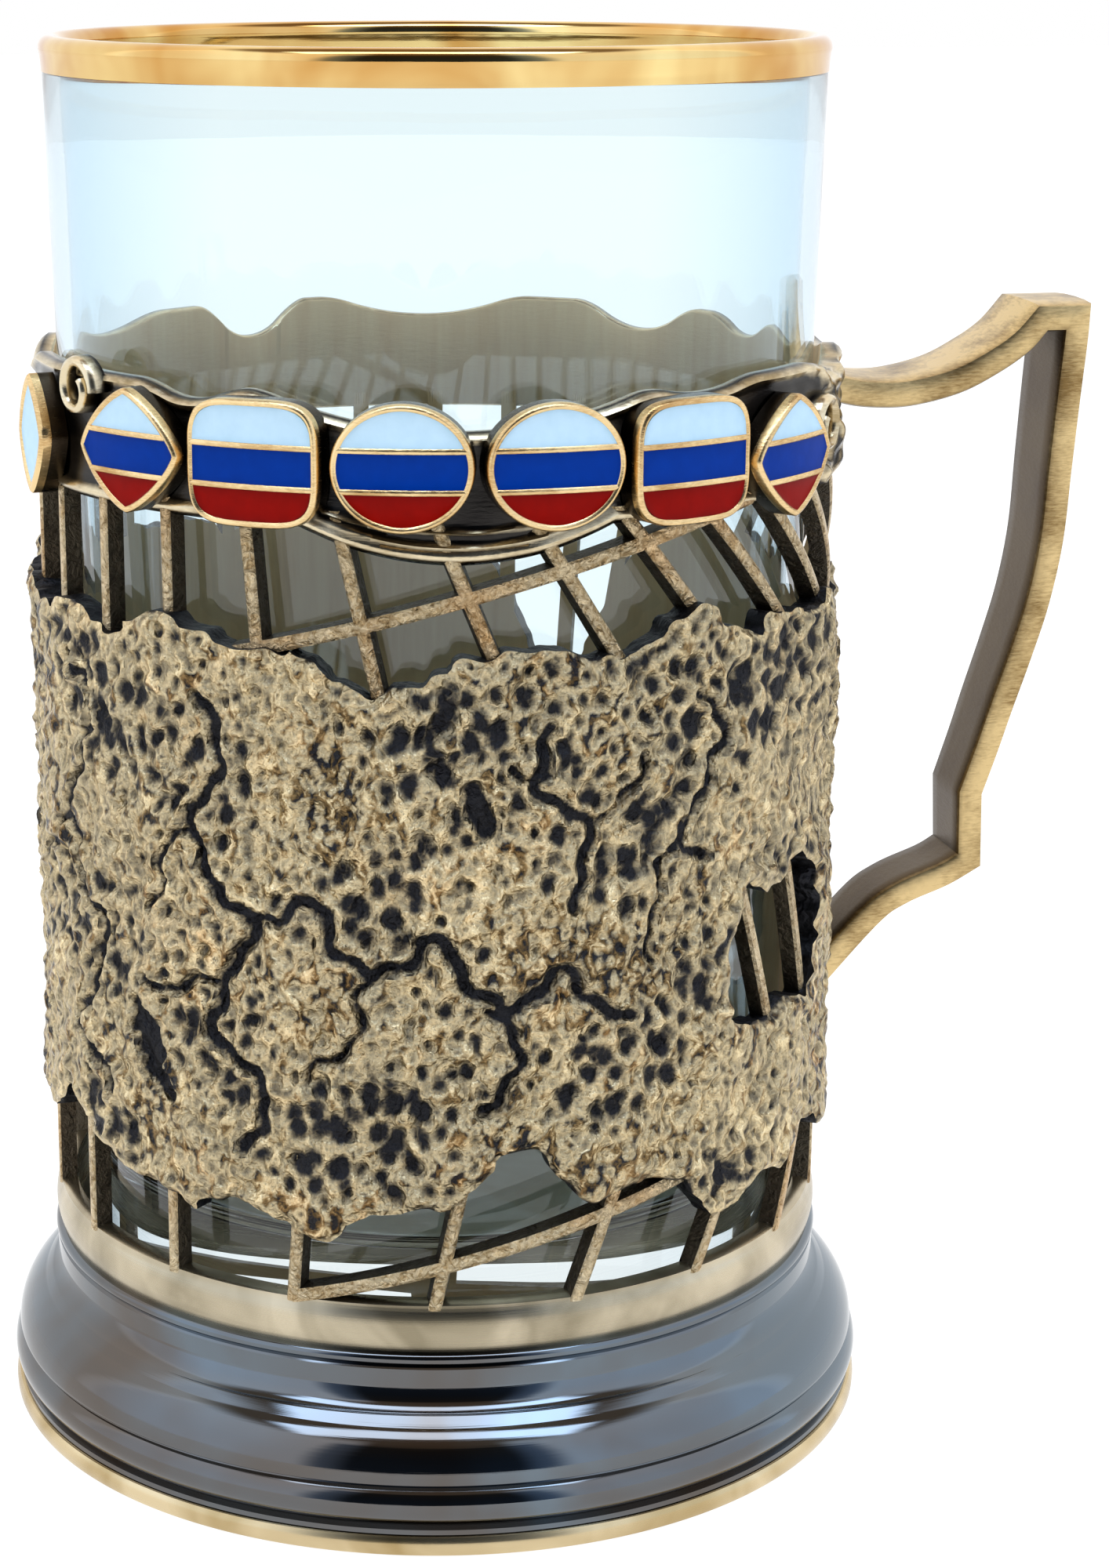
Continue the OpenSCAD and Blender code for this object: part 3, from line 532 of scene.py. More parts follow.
def closedShell(name, outer, inner, keep, deep, black):
    # A grid of points and its twin on the bore side, closed by walls along every free edge
    count, rows = keep.shape
    index = np.arange(count * rows).reshape(count, rows)
    right = np.roll(index, -1, 0)
    c = [index[:, :-1], right[:, :-1], right[:, 1:], index[:, 1:]]
    kept = [keep.reshape(-1)[k] for k in c]
    inCount = sum(k.astype(int) for k in kept)
    outerFaces = np.stack([k[inCount == 4] for k in c], 1).tolist()
    for missing in range(4):
        mask = (inCount == 3) & ~kept[missing]
        outerFaces += np.stack([c[k][mask] for k in range(4) if k != missing], 1).tolist()
    # The bore side is plain, so blocks of 4 by 4 cells become one face where no edge is near
    total = count * rows
    whole = (inCount == 4) & np.minimum.reduce([deep.reshape(-1)[k] for k in c])
    blocks = whole.reshape(count // 4, 4, (rows - 1) // 4, 4).all(axis=(1, 3))
    innerFaces = []
    for face in outerFaces:
        columns = {v // rows for v in face}
        i = count - 1 if columns >= {0, count - 1} else min(columns)
        if not blocks[i // 4, min(v % rows for v in face) // 4]:
            innerFaces.append(tuple(v + total for v in reversed(face)))
    for bi, bj in zip(*np.nonzero(blocks)):
        i0, j0 = bi * 4, bj * 4
        loop = []
        for side, (di, dj) in enumerate([(0, -1), (1, 0), (0, 1), (-1, 0)]):
            ni, nj = (bi + di) % blocks.shape[0], bj + dj
            plain = 0 <= nj < blocks.shape[1] and blocks[ni, nj]
            for k in [0] if plain else range(4):
                p = [(i0 + k, j0), (i0 + 4, j0 + k), (i0 + 4 - k, j0 + 4), (i0, j0 + 4 - k)][side]
                loop.append(int((p[0] % count) * rows + p[1]) + total)
        innerFaces.append(tuple(reversed(loop)))
    free = set()
    for face in outerFaces:
        for a, b in zip(face, face[1:] + face[:1]):
            if (b, a) in free:
                free.remove((b, a))
            else:
                free.add((a, b))
    walls = [(b, a, a + total, b + total) for a, b in sorted(free)]
    corners = [black[v] for face in outerFaces for v in face]
    corners += [0.0] * cornersIn(innerFaces) + [1.0] * cornersIn(walls)
    allFaces = outerFaces + innerFaces + walls
    used = np.unique(np.concatenate([np.array(face) for face in allFaces]))
    renumber = np.zeros(2 * total, int)
    renumber[used] = np.arange(len(used))
    allFaces = [tuple(renumber[list(face)].tolist()) for face in allFaces]
    return makeMesh(name, np.concatenate([outer, inner])[used], allFaces, 50, corners)


def aroundRelief(a):
    polar = np.radians(a)
    return shared["reliefR"] * np.cos(polar), shared["reliefR"] * np.sin(polar)


def metalLeft(a, z):
    # About the distance in millimetres to the relief's nearest edge, positive in the metal
    window = relief["window"]
    x, y = aroundRelief(a)
    ragged = relief["raggedMm"] * (waves(x, y, z, 3.2, 5) + 0.25 * waves(x, y, z, 1.4, 6))
    aside = np.radians(a - window["angle"])
    side = np.where(np.cos(aside) > 0, shared["barR"] * np.sin(aside), 99)
    corners = [(sx * window["width"], window["middle"] + sz * window["height"]) for sx, sz in window["shares"]]
    hole = lineDistance(side, z, corners, True)
    return np.minimum(np.minimum(reliefTop(a) - z, z - reliefBottom(a)), hole) * 0.85 + ragged


def sunken(distance, soft):
    share = np.clip(0.5 - distance / soft, 0, 1)
    return share * share * (3 - 2 * share)


def makeRelief():
    mmPerDegree = shared["reliefR"] * math.pi / 180
    count = int(360 * mmPerDegree / relief["gridMm"]) // 8 * 8
    stepA, stepZ = 360 / count, relief["gridMm"]
    rows = int((relief["high"] - relief["low"]) / stepZ) // 4 * 4 + 1
    angles, heights = np.meshgrid(-180 + stepA * np.arange(count), relief["low"] + stepZ * np.arange(rows),
                                  indexing="ij")
    slopeA = (metalLeft(angles + 0.1, heights) - metalLeft(angles - 0.1, heights)) / (0.2 * mmPerDegree)
    slopeZ = (metalLeft(angles, heights + 0.06) - metalLeft(angles, heights - 0.06)) / 0.12
    slope = np.maximum(np.hypot(slopeA, slopeZ), 0.5)
    gap = metalLeft(angles, heights) / slope
    # Grid points near an edge are moved onto it, so the outline is smooth
    near = np.abs(gap) < 0.51 * stepZ
    shift = np.where(near, -gap, 0)
    angles = angles + shift * slopeA / slope / mmPerDegree
    heights = heights + shift * slopeZ / slope
    keep = (gap > 0) | near

    x, y = aroundRelief(angles)
    arc = angles * mmPerDegree
    channel = np.full(angles.shape, 9.0)
    for seed, (share, points) in enumerate(relief["channels"]):
        line = windingLine(points, seed + 11)
        box = (arc > line[:, 0].min() - 2) & (arc < line[:, 0].max() + 2)
        box &= (heights > line[:, 1].min() - 2) & (heights < line[:, 1].max() + 2)
        far = lineDistance(arc[box], heights[box], line) - share * relief["channelHalf"]
        channel[box] = np.minimum(channel[box], far)
    channel += 0.09 * waves(x, y, heights, 1.5, 31)
    for a, z, halfW, halfH in relief["hollows"]:
        far = np.hypot((turned(angles - a) * mmPerDegree + 0.3 * (heights - z)) / halfW, (heights - z) / halfH)
        channel = np.minimum(channel, (far - 1 + 0.22 * waves(x, y, heights, 2.4, 21)) * min(halfW, halfH))
    # Pits and dimples keep off the edges and channels
    inland = 0.45 - np.maximum(np.minimum(gap, channel), 0)
    pit, dimple = [
        np.maximum(pitDistance(arc, heights, *crowd) + uneven * waves(x, y, heights, size, seed), inland)
        for *crowd, uneven, size, seed in relief["crowds"]]

    hills = relief["hillMm"] * waves(x, y, heights, 9, 3)
    hills += relief["wrinkleMm"] * waves(x, y, heights, 2.1, 4, 16)
    edge = np.exp(-(np.maximum(gap, 0) / 0.35) ** 2)
    lip = np.exp(-((channel - 0.45) / 0.3) ** 2) + np.exp(-((gap - 0.9) / 0.5) ** 2)
    radius = shared["reliefR"] - relief["setBack"] + np.clip(hills, -0.5, 0.35) + relief["lipMm"] * lip
    radius -= relief["edgeMm"] * edge
    carved = sunken(channel, 0.5)
    radius -= relief["channelDepth"] * carved
    radius -= relief["pitDepth"] * np.maximum(sunken(pit, 0.7), 0.5 * sunken(dimple, 0.6)) * (1 - carved)
    # Small dimples are rubbed lighter than pits and channels are
    black = 0.36 * edge
    for distance, reach, most in ((channel, 0.9, 1), (pit, 1.5, 0.78), (dimple, 1.6, 0.52)):
        black = np.maximum(black, np.clip(0.5 - distance / reach, 0, most))
    outer, inner = [toPoint(angles, r, heights).reshape(-1, 3) for r in (radius, shared["boreR"])]
    column = np.arange(count)[:, None]
    for name, part in [("reliefLeft", column <= count // 2),
                       ("reliefRight", (column >= count // 2) | (column == 0))]:
        shell = closedShell(name, outer, inner, keep & part, (gap > 1.2 * stepZ) & part, black.reshape(-1))
        finishCast(shell, castBrass)


makeRelief()
print("relief made")


# Bars of the openwork: one Geometry Nodes tree bends a crowned bar onto the wall for each place

def makeBarTree():
    tree = bpy.data.node_groups.new("slantedBars", "GeometryNodeTree")
    kinds = {"Count": "Int", "Finish": "Material"}
    for name in ("Count", "Low", "High", "Level", "Lean", "Width", "Bay", "Inner", "Outer", "Finish"):
        tree.interface.new_socket(name, in_out="INPUT", socket_type="NodeSocket" + kinds.get(name, "Float"))
    tree.interface.new_socket("Geometry", in_out="OUTPUT", socket_type="NodeSocketGeometry")
    add = partial(addNode, tree)
    given = add("NodeGroupInput").node.outputs
    bar = add("GeometryNodeMeshCube", {"Size": (1, 1, 1), "Vertices X": 7, "Vertices Y": 4, "Vertices Z": 16})
    places = add("GeometryNodeMeshLine", {"Count": given["Count"], "Offset": (0, 0, 0)})
    copies = add("GeometryNodeInstanceOnPoints", {"Points": places, "Instance": bar})
    named = add("GeometryNodeStoreNamedAttribute", {
        "Geometry": copies, "Name": "place", "Value": add("GeometryNodeInputIndex")},
        data_type="FLOAT", domain="INSTANCE")
    real = add("GeometryNodeRealizeInstances", [named])
    place = add("GeometryNodeInputNamedAttribute", {"Name": "place"}, data_type="FLOAT")
    spot = add("SeparateXYZ", [add("GeometryNodeInputPosition")]).node.outputs
    # Angle of this bar, wrapped to -180..180
    angle = add("Math DIVIDE", (add("Math MULTIPLY", (place, 360.0)), given["Count"]))
    wrapped = add("Math WRAP", (angle, 180.0, -180.0))
    # Its lean grows and falls again between two angles
    start, end = openwork["leanFrom"], openwork["leanTo"]
    phase = add("Math MULTIPLY", (add("Math SUBTRACT", (wrapped, start)), 2 * math.pi / (end - start)))
    rise = add("Math MULTIPLY_ADD", (add("Math COSINE", [phase]), -0.5, 0.5))
    after, before = add("Math GREATER_THAN", (wrapped, start)), add("Math LESS_THAN", (wrapped, end))
    lean = add("Math MULTIPLY", (add("Math MULTIPLY", (given["Lean"], rise)),
                                 add("Math MULTIPLY", (after, before))))
    # The bars reach down into the deep bay at the back
    bayAt, bayHalf, _ = openwork["backBay"]
    fromBay = add("Math DIVIDE", (add("Math SUBTRACT", (wrapped, bayAt)), bayHalf))
    fallOff = add("Math MULTIPLY", (add("Math MULTIPLY", (fromBay, fromBay)), -1.0))
    deeper = add("Math MULTIPLY", (given["Bay"], add("Math EXPONENT", [fallOff])))
    foot = add("Math SUBTRACT", (given["Low"], deeper))
    up = add("Math ADD", (spot["Z"], 0.5))
    height = add("Math MULTIPLY_ADD", (up, add("Math SUBTRACT", (given["High"], foot)), foot))
    # The bar narrows towards its face and its face is crowned
    depth = add("Math ADD", (spot["Y"], 0.5))
    narrowing = add("Math MULTIPLY_ADD", (depth, *openwork["draft"]))
    across = add("Math MULTIPLY", (add("Math MULTIPLY", (spot["X"], given["Width"])), narrowing))
    aside = add("Math ABSOLUTE", [add("Math MULTIPLY", (spot["X"], 2.0))])
    crown = add("Math MULTIPLY", (add("Math POWER", (aside, 4.0)), openwork["crown"]))
    thick = add("Math SUBTRACT", (add("Math SUBTRACT", (given["Outer"], crown)), given["Inner"]))
    radius = add("Math MULTIPLY_ADD", (depth, thick, given["Inner"]))
    # Bent onto the wall, where a leaning bar is wider across
    run = add("Math MULTIPLY", (lean, add("Math SUBTRACT", (given["Level"], height))))
    widen = add("Math SQRT", [add("Math MULTIPLY_ADD", (lean, lean, 1.0))])
    sideways = add("Math DIVIDE", (add("Math MULTIPLY_ADD", (across, widen, run)), given["Outer"]))
    turn = add("Math MULTIPLY", (add("Math ADD", (angle, faceTurn)), math.pi / 180))
    polar = add("Math ADD", (turn, sideways))
    target = add("CombineXYZ", [add("Math MULTIPLY", (mm, 0.001)) for mm in (
        add("Math MULTIPLY", (radius, add("Math COSINE", [polar]))),
        add("Math MULTIPLY", (radius, add("Math SINE", [polar]))), height)])
    moved = add("GeometryNodeSetPosition", {"Geometry": real, "Position": target})
    dressed = add("GeometryNodeSetMaterial", {"Geometry": moved, "Material": given["Finish"]})
    add("NodeGroupOutput", [dressed])
    return tree


def runTree(name, tree, values):
    # The tree's result as a plain mesh, its normals outward
    holder = newObject(name, bpy.data.meshes.new(name))
    modifier = holder.modifiers.new("shape", "NODES")
    modifier.node_group = tree
    for item in tree.interface.items_tree:
        if item.item_type == "SOCKET" and item.in_out == "INPUT":
            modifier[item.identifier] = values[item.name]
    bpy.context.view_layer.update()
    mesh = bpy.data.meshes.new_from_object(holder.evaluated_get(bpy.context.evaluated_depsgraph_get()))
    holder.modifiers.remove(modifier)
    holder.data = mesh
    mesh.attributes.remove(mesh.attributes["place"])
    # The bend mirrors each bar
    mesh.flip_normals()
    showSmooth(mesh, 35)
    return holder


bars = {
    "upperBars": {"Count": 28, "Low": 70.0, "High": 87.0, "Level": shared["bandLow"], "Lean": openwork["lean"],
                  "Bay": openwork["backBay"][2] * openwork["wave"]},
    "lowerBars": {"Count": 18, "Low": 20.2, "High": 34.0, "Level": shared["hoopTop"],
                  "Lean": -openwork["lean"] / 2, "Bay": 0.0},
}
barTree = makeBarTree()
for name, settings in bars.items():
    settings |= {"Width": shared["barWidth"], "Inner": shared["boreR"], "Outer": shared["barR"],
                 "Finish": barBrass}
    finishCast(runTree(name, barTree, settings), barBrass)
print("bars made")


# Hoops: two tilted ones that cross the bars, the bars of the side window, and the hoop on the foot

hoops = {
    # Height of the middle, from and to angle
    "upperCrossHoop": (openwork["reliefHigh"] + openwork["wave"], -228, 48),
    "lowerCrossHoop": (shared["hoopTop"] + openwork["wave"], -20, 200),
}


def barSection(innerR, half, drop, shares):
    # Round a bar: radius and distance to the side, its face narrower than its root
    ramp = list(zip((innerR, shared["barR"] - drop, shared["barR"]), (half * share for share in shares)))
    return [(radius, -aside) for radius, aside in ramp] + ramp[::-1]


def makeHoopArc(name, middle, fromAngle, toAngle):
    angles = np.linspace(fromAngle, toAngle, int((toAngle - fromAngle) / 1.2) + 1)
    rise = shared["barR"] * sine(angles) * math.tan(math.radians(openwork["tilt"]))
    half = shared["barWidth"] / 2 / math.cos(math.radians(openwork["tilt"]))
    section = barSection(shared["boreR"], half, 0.15, (1, 0.75, 0.45))
    return finishCast(sweptBar(name, [toPoint(angles, r, middle + rise + dz) for r, dz in section]), barBrass)


def makeWindowBar(name, share):
    # A slanted bar across the side window, its ends in the relief
    window = relief["window"]
    up = np.linspace(-0.62, 0.62, 25)
    lines = []
    for radius, across in reversed(barSection(shared["boreR"] + 0.1, 1, 0.22, (0.52, 0.42, 0.25))):
        side = (share - window["barLean"] * up) * window["width"] + across * shared["barWidth"]
        angles = window["angle"] + np.degrees(np.arcsin(side / shared["barR"]))
        lines.append(toPoint(angles, radius, window["middle"] + up * window["height"]))
    return finishCast(sweptBar(name, lines), barBrass)


for name, settings in hoops.items():
    makeHoopArc(name, *settings)
for side, share in relief["window"]["bars"].items():
    makeWindowBar(f"windowBar{side}", share)
lowerHoop = lathe("lowerHoop", [
    (shared["boreR"], shared["hoopLow"]), (34.5, shared["hoopLow"]), (30.72, 18.4, 4.22, -24, 24, 14),
    (34.5, 20.55), (34.0, 20.8), (shared["boreR"], 20.8)])
finishCast(lowerHoop, hoopBrass)
print("hoops made")


# The waved band

band = {
    "sag": 2.8, "sagMiddle": 3, "sagHalf": 12.57, "bayDepth": 3.0,
    # Bays of its upper edge: angle, half width in degrees, share of the depth
    "bays": [(3, 26, 1), (-34, 7, 0.4), (38, 9, 0.3), (74, 10, 0.45), (96, 9, 0.3), (117, 8, 0.55),
             (143, 10, 0.8), (-178, 15, 0.6), (-147, 8, 1.1), (-112, 14, 0.35), (-86, 9, 0.5)],
    "recess": 0.45, "columns": 900,
    # The bore side: distance from the bore, share of the height, how black
    "inside": [(0.35, 1, 0.1), (0, 0.97, 0), (0, 0.5, 0), (0, 0.03, 0), (0.35, 0, 0.5)],
}


def scooped(angles, centre, halfWidth, depth, level):
    # A level edge pressed down by a lying cylinder, over the given half width and depth
    r = (halfWidth ** 2 + depth ** 2) / 2 / depth
    side = shared["bandR"] * sine(turned(angles - centre))
    inside = (np.abs(side) < halfWidth) & (np.abs(turned(angles - centre)) < 90)
    return np.where(inside, level + r - depth - np.sqrt(np.maximum(r * r - side * side, 0)), level)


def bandTop(angles):
    top = np.full(np.shape(angles), shared["bandHigh"])
    for centre, half, share in band["bays"]:
        halfMm = half / 180 * math.pi * shared["bandR"]
        top = np.minimum(top, scooped(angles, centre, halfMm, band["bayDepth"] * share, shared["bandHigh"]))
    return top


def ridge(distance, width):
    return np.exp(-(distance / width) ** 2)


def makeBand():
    columns = band["columns"]
    angles = -180 + 360 / columns * np.arange(columns)
    low = scooped(angles, band["sagMiddle"], band["sagHalf"], band["sag"], shared["bandLow"])
    low = low - openwork["railHeight"] * 0.6
    # The tips between the bays are rubbed round
    high = sum(bandTop(angles + turn) for turn in np.linspace(-2.6, 2.6, 13)) / 13
    polar = np.radians(angles)
    x, y = 35 * np.cos(polar), 35 * np.sin(polar)
    # Double ridges follow the sag, and the right end is rough like stone
    under = np.clip(1 - np.abs(turned(angles - band["sagMiddle"])) / 24, 0, 1)
    rough = swell(angles, 73, 9)
    rings, black = [], []
    for share in np.linspace(0, 1, 37):
        z = low + (high - low) * share
        fromLow, fromHigh = z - low, high - z
        rims = ridge(fromLow - 0.7, 0.5) + ridge(fromHigh - 0.5, 0.4)
        ridges = sum(ridge(fromLow - 1.5 - 0.55 * k - 0.6 * k * under, 0.2) * np.clip(under * 3, 0, 1)
                     for k in range(2))
        lumps = 0.08 * waves(x, y, z, 5, 8) + 0.4 * rough * waves(x, y, z, 2.6, 18, 14)
        worn = np.clip(rims + 0.8 * ridges + rough * (0.45 + 0.5 * waves(x, y, z, 1.6, 19)), 0, 1)
        edgeDrop = 0.25 * (ridge(fromLow, 0.3) + ridge(fromHigh, 0.3))
        raised = np.maximum(worn, rough)
        radius = shared["bandR"] - band["recess"] * (1 - raised) + lumps - edgeDrop + 0.5 * rough
        rings.append(toPoint(angles, radius, z))
        black.append(1 - worn)
    for out, share, dark in band["inside"]:
        rings.append(toPoint(angles, shared["boreR"] + out, low + (high - low) * share))
        black.append(np.full(columns, dark))
    faces = gridFaces(len(rings), columns)
    corners = np.concatenate(black)[np.array(faces).reshape(-1)]
    piece = makeMesh("wavedBand", np.concatenate(rings), faces, 60, corners)
    return finishPiece(piece, "holder", bandBrass, "patinated_brass", "top_band")


makeBand()
print("band made")


# Plaques: a body, raised wires and three cells of enamel, a little hollow

plaques = {
    "width": 11.2, "height": 10.0, "gap": 1.05, "wire": 0.55, "third": -4, "middle": 90.7,
    "powers": [1.35, 4, 2, 2, 4, 1.35], "enamelDrop": 0.1, "hollow": 0.12,
    # Colour, and the share of the height where its cell starts and ends
    "cells": [("red", -0.1, 0.32), ("blue", 0.32, 0.64), ("white", 0.64, 1.1)],
}
enamels = {"red": redEnamel, "blue": blueEnamel, "white": whiteEnamel}


def plaqueAngle(i):
    pitch = math.degrees((plaques["width"] + plaques["gap"]) / shared["plaqueR"])
    return plaques["third"] + (i - 2) * pitch


def pastRow(i, away):
    # Angle of a piece beside the first or last plaque
    return plaqueAngle(i) + (1 if i else -1) * math.degrees((plaques["width"] / 2 + away) / shared["plaqueR"])


def outline(width, height, power, count=96):
    t = np.arange(count) * 2 * math.pi / count
    c, s = np.cos(t), np.sin(t)
    k = (np.abs(c) ** power + np.abs(s) ** power) ** (-1 / power)
    return np.stack([width / 2 * c * k, height / 2 * s * k], 1)


def offsetInward(line, distance):
    run = np.roll(line, -1, 0) - np.roll(line, 1, 0)
    run /= np.linalg.norm(run, axis=1)[:, None]
    return line + np.stack([-run[:, 1], run[:, 0]], 1) * distance


def onBand(angle, middle, flat, radius):
    # Points [across, up] pushed outward at an angle until they lie on a round wall of the given radius
    flat = np.asarray(flat, float)
    radius = np.broadcast_to(radius, flat.shape[:1])
    turn = math.radians(angle + faceTurn)
    out = np.sqrt(radius ** 2 - flat[:, 0] ** 2)
    return np.stack([out * math.cos(turn) - flat[:, 0] * math.sin(turn),
                     out * math.sin(turn) + flat[:, 0] * math.cos(turn), flat[:, 1] + middle], 1) / 1000


def loopShell(angle, middle, loops):
    # A closed shell through loops of equal length, each a pair of outline and radius, front to back
    points = np.concatenate([onBand(angle, middle, flat, radius) for flat, radius in loops])
    return points, [(a, d, c, b) for a, b, c, d in gridFaces(len(loops), len(loops[0][0]))]


def cappedShell(angle, middle, loops):
    points, faces = loopShell(angle, middle, loops)
    count = len(loops[0][0])
    back = count * (len(loops) - 1)
    return points, faces[:back] + [tuple(range(count)), tuple(range(back, back + count))[::-1]]


def wireLoop(angle, middle, line, width):
    # Rounded wire that follows a closed outline, its outer side on the outline
    r, c = shared["plaqueR"], shared["cellR"]
    section = [(0, c - 0.3), (0, r - 0.22), (0.22, r - 0.02), (0.5, r + 0.04), (0.78, r - 0.02), (1, r - 0.16),
               (1, c - 0.3)]
    return loopShell(angle, middle, [(offsetInward(line, width * share), radius)
                                     for share, radius in reversed(section)])


def halfWidthAt(z, width, height, power):
    return width / 2 * (1 - min(abs(2 * z / height), 1) ** power) ** (1 / power)


def crossWire(angle, middle, z, halfLength, width):
    x = np.linspace(-halfLength, halfLength, 13)
    r, c = shared["plaqueR"], shared["cellR"]
    section = [(-width / 2, c - 0.2), (-width / 2, r - 0.16), (-width * 0.25, r - 0.02), (0, r + 0.03),
               (width * 0.25, r - 0.02), (width / 2, r - 0.16), (width / 2, c - 0.2)]
    points = np.concatenate([onBand(angle, middle, np.stack([x, np.full(len(x), z + dz)], 1), radius)
                             for dz, radius in section])
    return points, sweptFaces(len(section), len(x))


def makeMount(name, node, angle, middle, width, height, power, wire, crossings=()):
    # A body whose sides stay black, with a wire round it and wires across, which are rubbed bright
    line = outline(width, height, power)
    cell = shared["cellR"]
    body = cappedShell(angle, middle, [
        (offsetInward(line, 0.2), cell), (offsetInward(line, 0.03), cell), (line, cell - 0.3),
        (line, shared["bandR"] - 0.3)])
    shells = [body, wireLoop(angle, middle, line, wire)]
    for z in crossings:
        shells.append(crossWire(angle, middle, z, halfWidthAt(z, width, height, power) - wire * 0.5, wire))
    points, faces = joinShells(shells)
    corners = [1.0] * cornersIn(body[1])
    corners += [0.0] * (cornersIn(faces) - len(corners))
    return finishPiece(makeMesh(name, points, faces, 40, corners), "holder", wireBrass, "wire_brass", node)


def makeCell(name, node, tint, angle, middle, width, height, power, low, high):
    # A pool of enamel between two wires, level with them, hollow towards its middle
    rows, columns = 13, 25
    inW, inH = width - 1.7 * plaques["wire"], height - 1.7 * plaques["wire"]
    zLow = max((low - 0.5) * height + plaques["wire"] * 0.42, -inH / 2 + 0.02)
    zHigh = min((high - 0.5) * height - plaques["wire"] * 0.42, inH / 2 - 0.02)
    v = np.linspace(0, 1, rows)
    u = -np.cos(math.pi * np.linspace(0, 1, columns))
    front, shadeByWires = [], []
    for share in 0.5 - 0.5 * np.cos(math.pi * v):
        z = zLow + (zHigh - zLow) * share
        half = max(halfWidthAt(z, inW, inH, power), 0.03)
        x = u * half
        away = np.maximum(np.minimum(np.minimum(z - zLow, zHigh - z), half - np.abs(x)), 0)
        front.append(np.stack([x, np.full(columns, z), shared["plaqueR"] - plaques["enamelDrop"]
                               - plaques["hollow"] * (1 - np.exp(-away / 0.5))], 1))
        # Painted shade that darkens the enamel next to the wires
        shadeByWires.append(0.5 * np.exp(-away / 0.3))
    front, shadeByWires = np.concatenate(front), np.concatenate(shadeByWires)
    points = np.concatenate([onBand(angle, middle, front[:, :2], front[:, 2]),
                             onBand(angle, middle, front[:, :2], shared["cellR"] - 0.05)])
    total = rows * columns
    faces, corners = [], []
    for quad in gridFaces(rows, columns, False, False):
        faces += [quad, tuple(q + total for q in reversed(quad))]
        corners += [shadeByWires[q] for q in quad] + [1.0] * 4
    grid = np.arange(total).reshape(rows, columns)
    border = np.concatenate([grid[0], grid[1:, -1], grid[-1, -2::-1], grid[-2:0:-1, 0]]).tolist()
    for a, b in zip(border, border[1:] + border[:1]):
        faces.append((b, a, a + total, b + total))
        corners += [1.0] * 4
    pool = makeMesh(name, points, faces, 50, corners)
    return finishPiece(pool, "holder", enamels[tint], f"enamel_{tint}", node)


def makePlaque(i):
    height = plaques["height"]
    # The last plaques hang lower
    middle = plaques["middle"] - (height * 0.03 * (i - 3) ** 2 if i > 3 else 0)
    form = plaqueAngle(i), middle, plaques["width"], height, plaques["powers"][i]
    crossings = [(low - 0.5) * height for _, low, _ in plaques["cells"][1:]]
    makeMount(f"plaqueMount_{i + 1}", f"plaque_{i + 1}", *form, plaques["wire"], crossings)
    for tint, low, high in plaques["cells"]:
        makeCell(f"enamel{tint.title()}_{i + 1}", f"enamel_{i + 1}_{tint}", tint, *form, low, high)


for i in range(6):
    makePlaque(i)


leaf = {"angle": pastRow(0, 9.865), "width": 6.4, "height": 10.0, "power": 1.4, "middle": 90.15, "wire": 0.82,
        "enamelLess": 0.5}


def makeLeaf():
    at, less = (leaf["angle"], leaf["middle"]), leaf["enamelLess"]
    makeMount("leafMount", "leaf_mount", *at, leaf["width"], leaf["height"], leaf["power"], leaf["wire"])
    makeCell("leafEnamel", "leaf_enamel", "white", *at, leaf["width"] - less, leaf["height"] - less,
             leaf["power"], -0.2, 1.2)


makeLeaf()
print("plaques made")


# Scrolls at the ends of the band: a ribbon that narrows as it curls in

scrolls = {
    "steps": 60, "curl": 405, "outerR": 3.1, "endR": 1.6, "width": 1.0, "thick": 1.2,
    # Across the ribbon and out from the band
    "section": [(-0.5, -0.3), (-0.5, 0.55), (-0.32, 0.9), (0, 1.02), (0.32, 0.9), (0.5, 0.55), (0.5, -0.3)],
    # Side of the band, angle, height of the middle, way that it curls
    "places": [("Left", pastRow(0, 2.45), 94.65, 1), ("Right", pastRow(5, 2.79), 90.7, -1)],
}


def makeScroll(word, angle, middle, way):
    outerR, width, section = scrolls["outerR"], scrolls["width"], scrolls["section"]
    t = np.linspace(0, 1, scrolls["steps"] + 1)
    turn = np.radians(scrolls["curl"] * t)
    spineR = outerR - width / 2 - (outerR - scrolls["endR"]) * t
    loops = []
    for across, up in section:
        r = spineR + across * width * (1 - 0.25 * t)
        flat = np.stack([r * np.cos(turn) * way, r * np.sin(turn)], 1)
        loops.append(onBand(angle, middle, flat, shared["bandR"] + up * scrolls["thick"]))
    faces = [face[::-way] for face in sweptFaces(len(section), len(t))]
    # The sides that stand on the band stay black
    corners = [0.9 if v // len(t) in (0, len(section) - 1) else 0.0 for face in faces for v in face]
    piece = makeMesh(f"scroll{word}", np.concatenate(loops), faces, 45, corners)
    return finishPiece(piece, "holder", bandBrass, "antique_cast_brass", f"scroll_{word.lower()}")


for place in scrolls["places"]:
    makeScroll(*place)
print("scrolls made")


# The strap handle, swept along its outer line

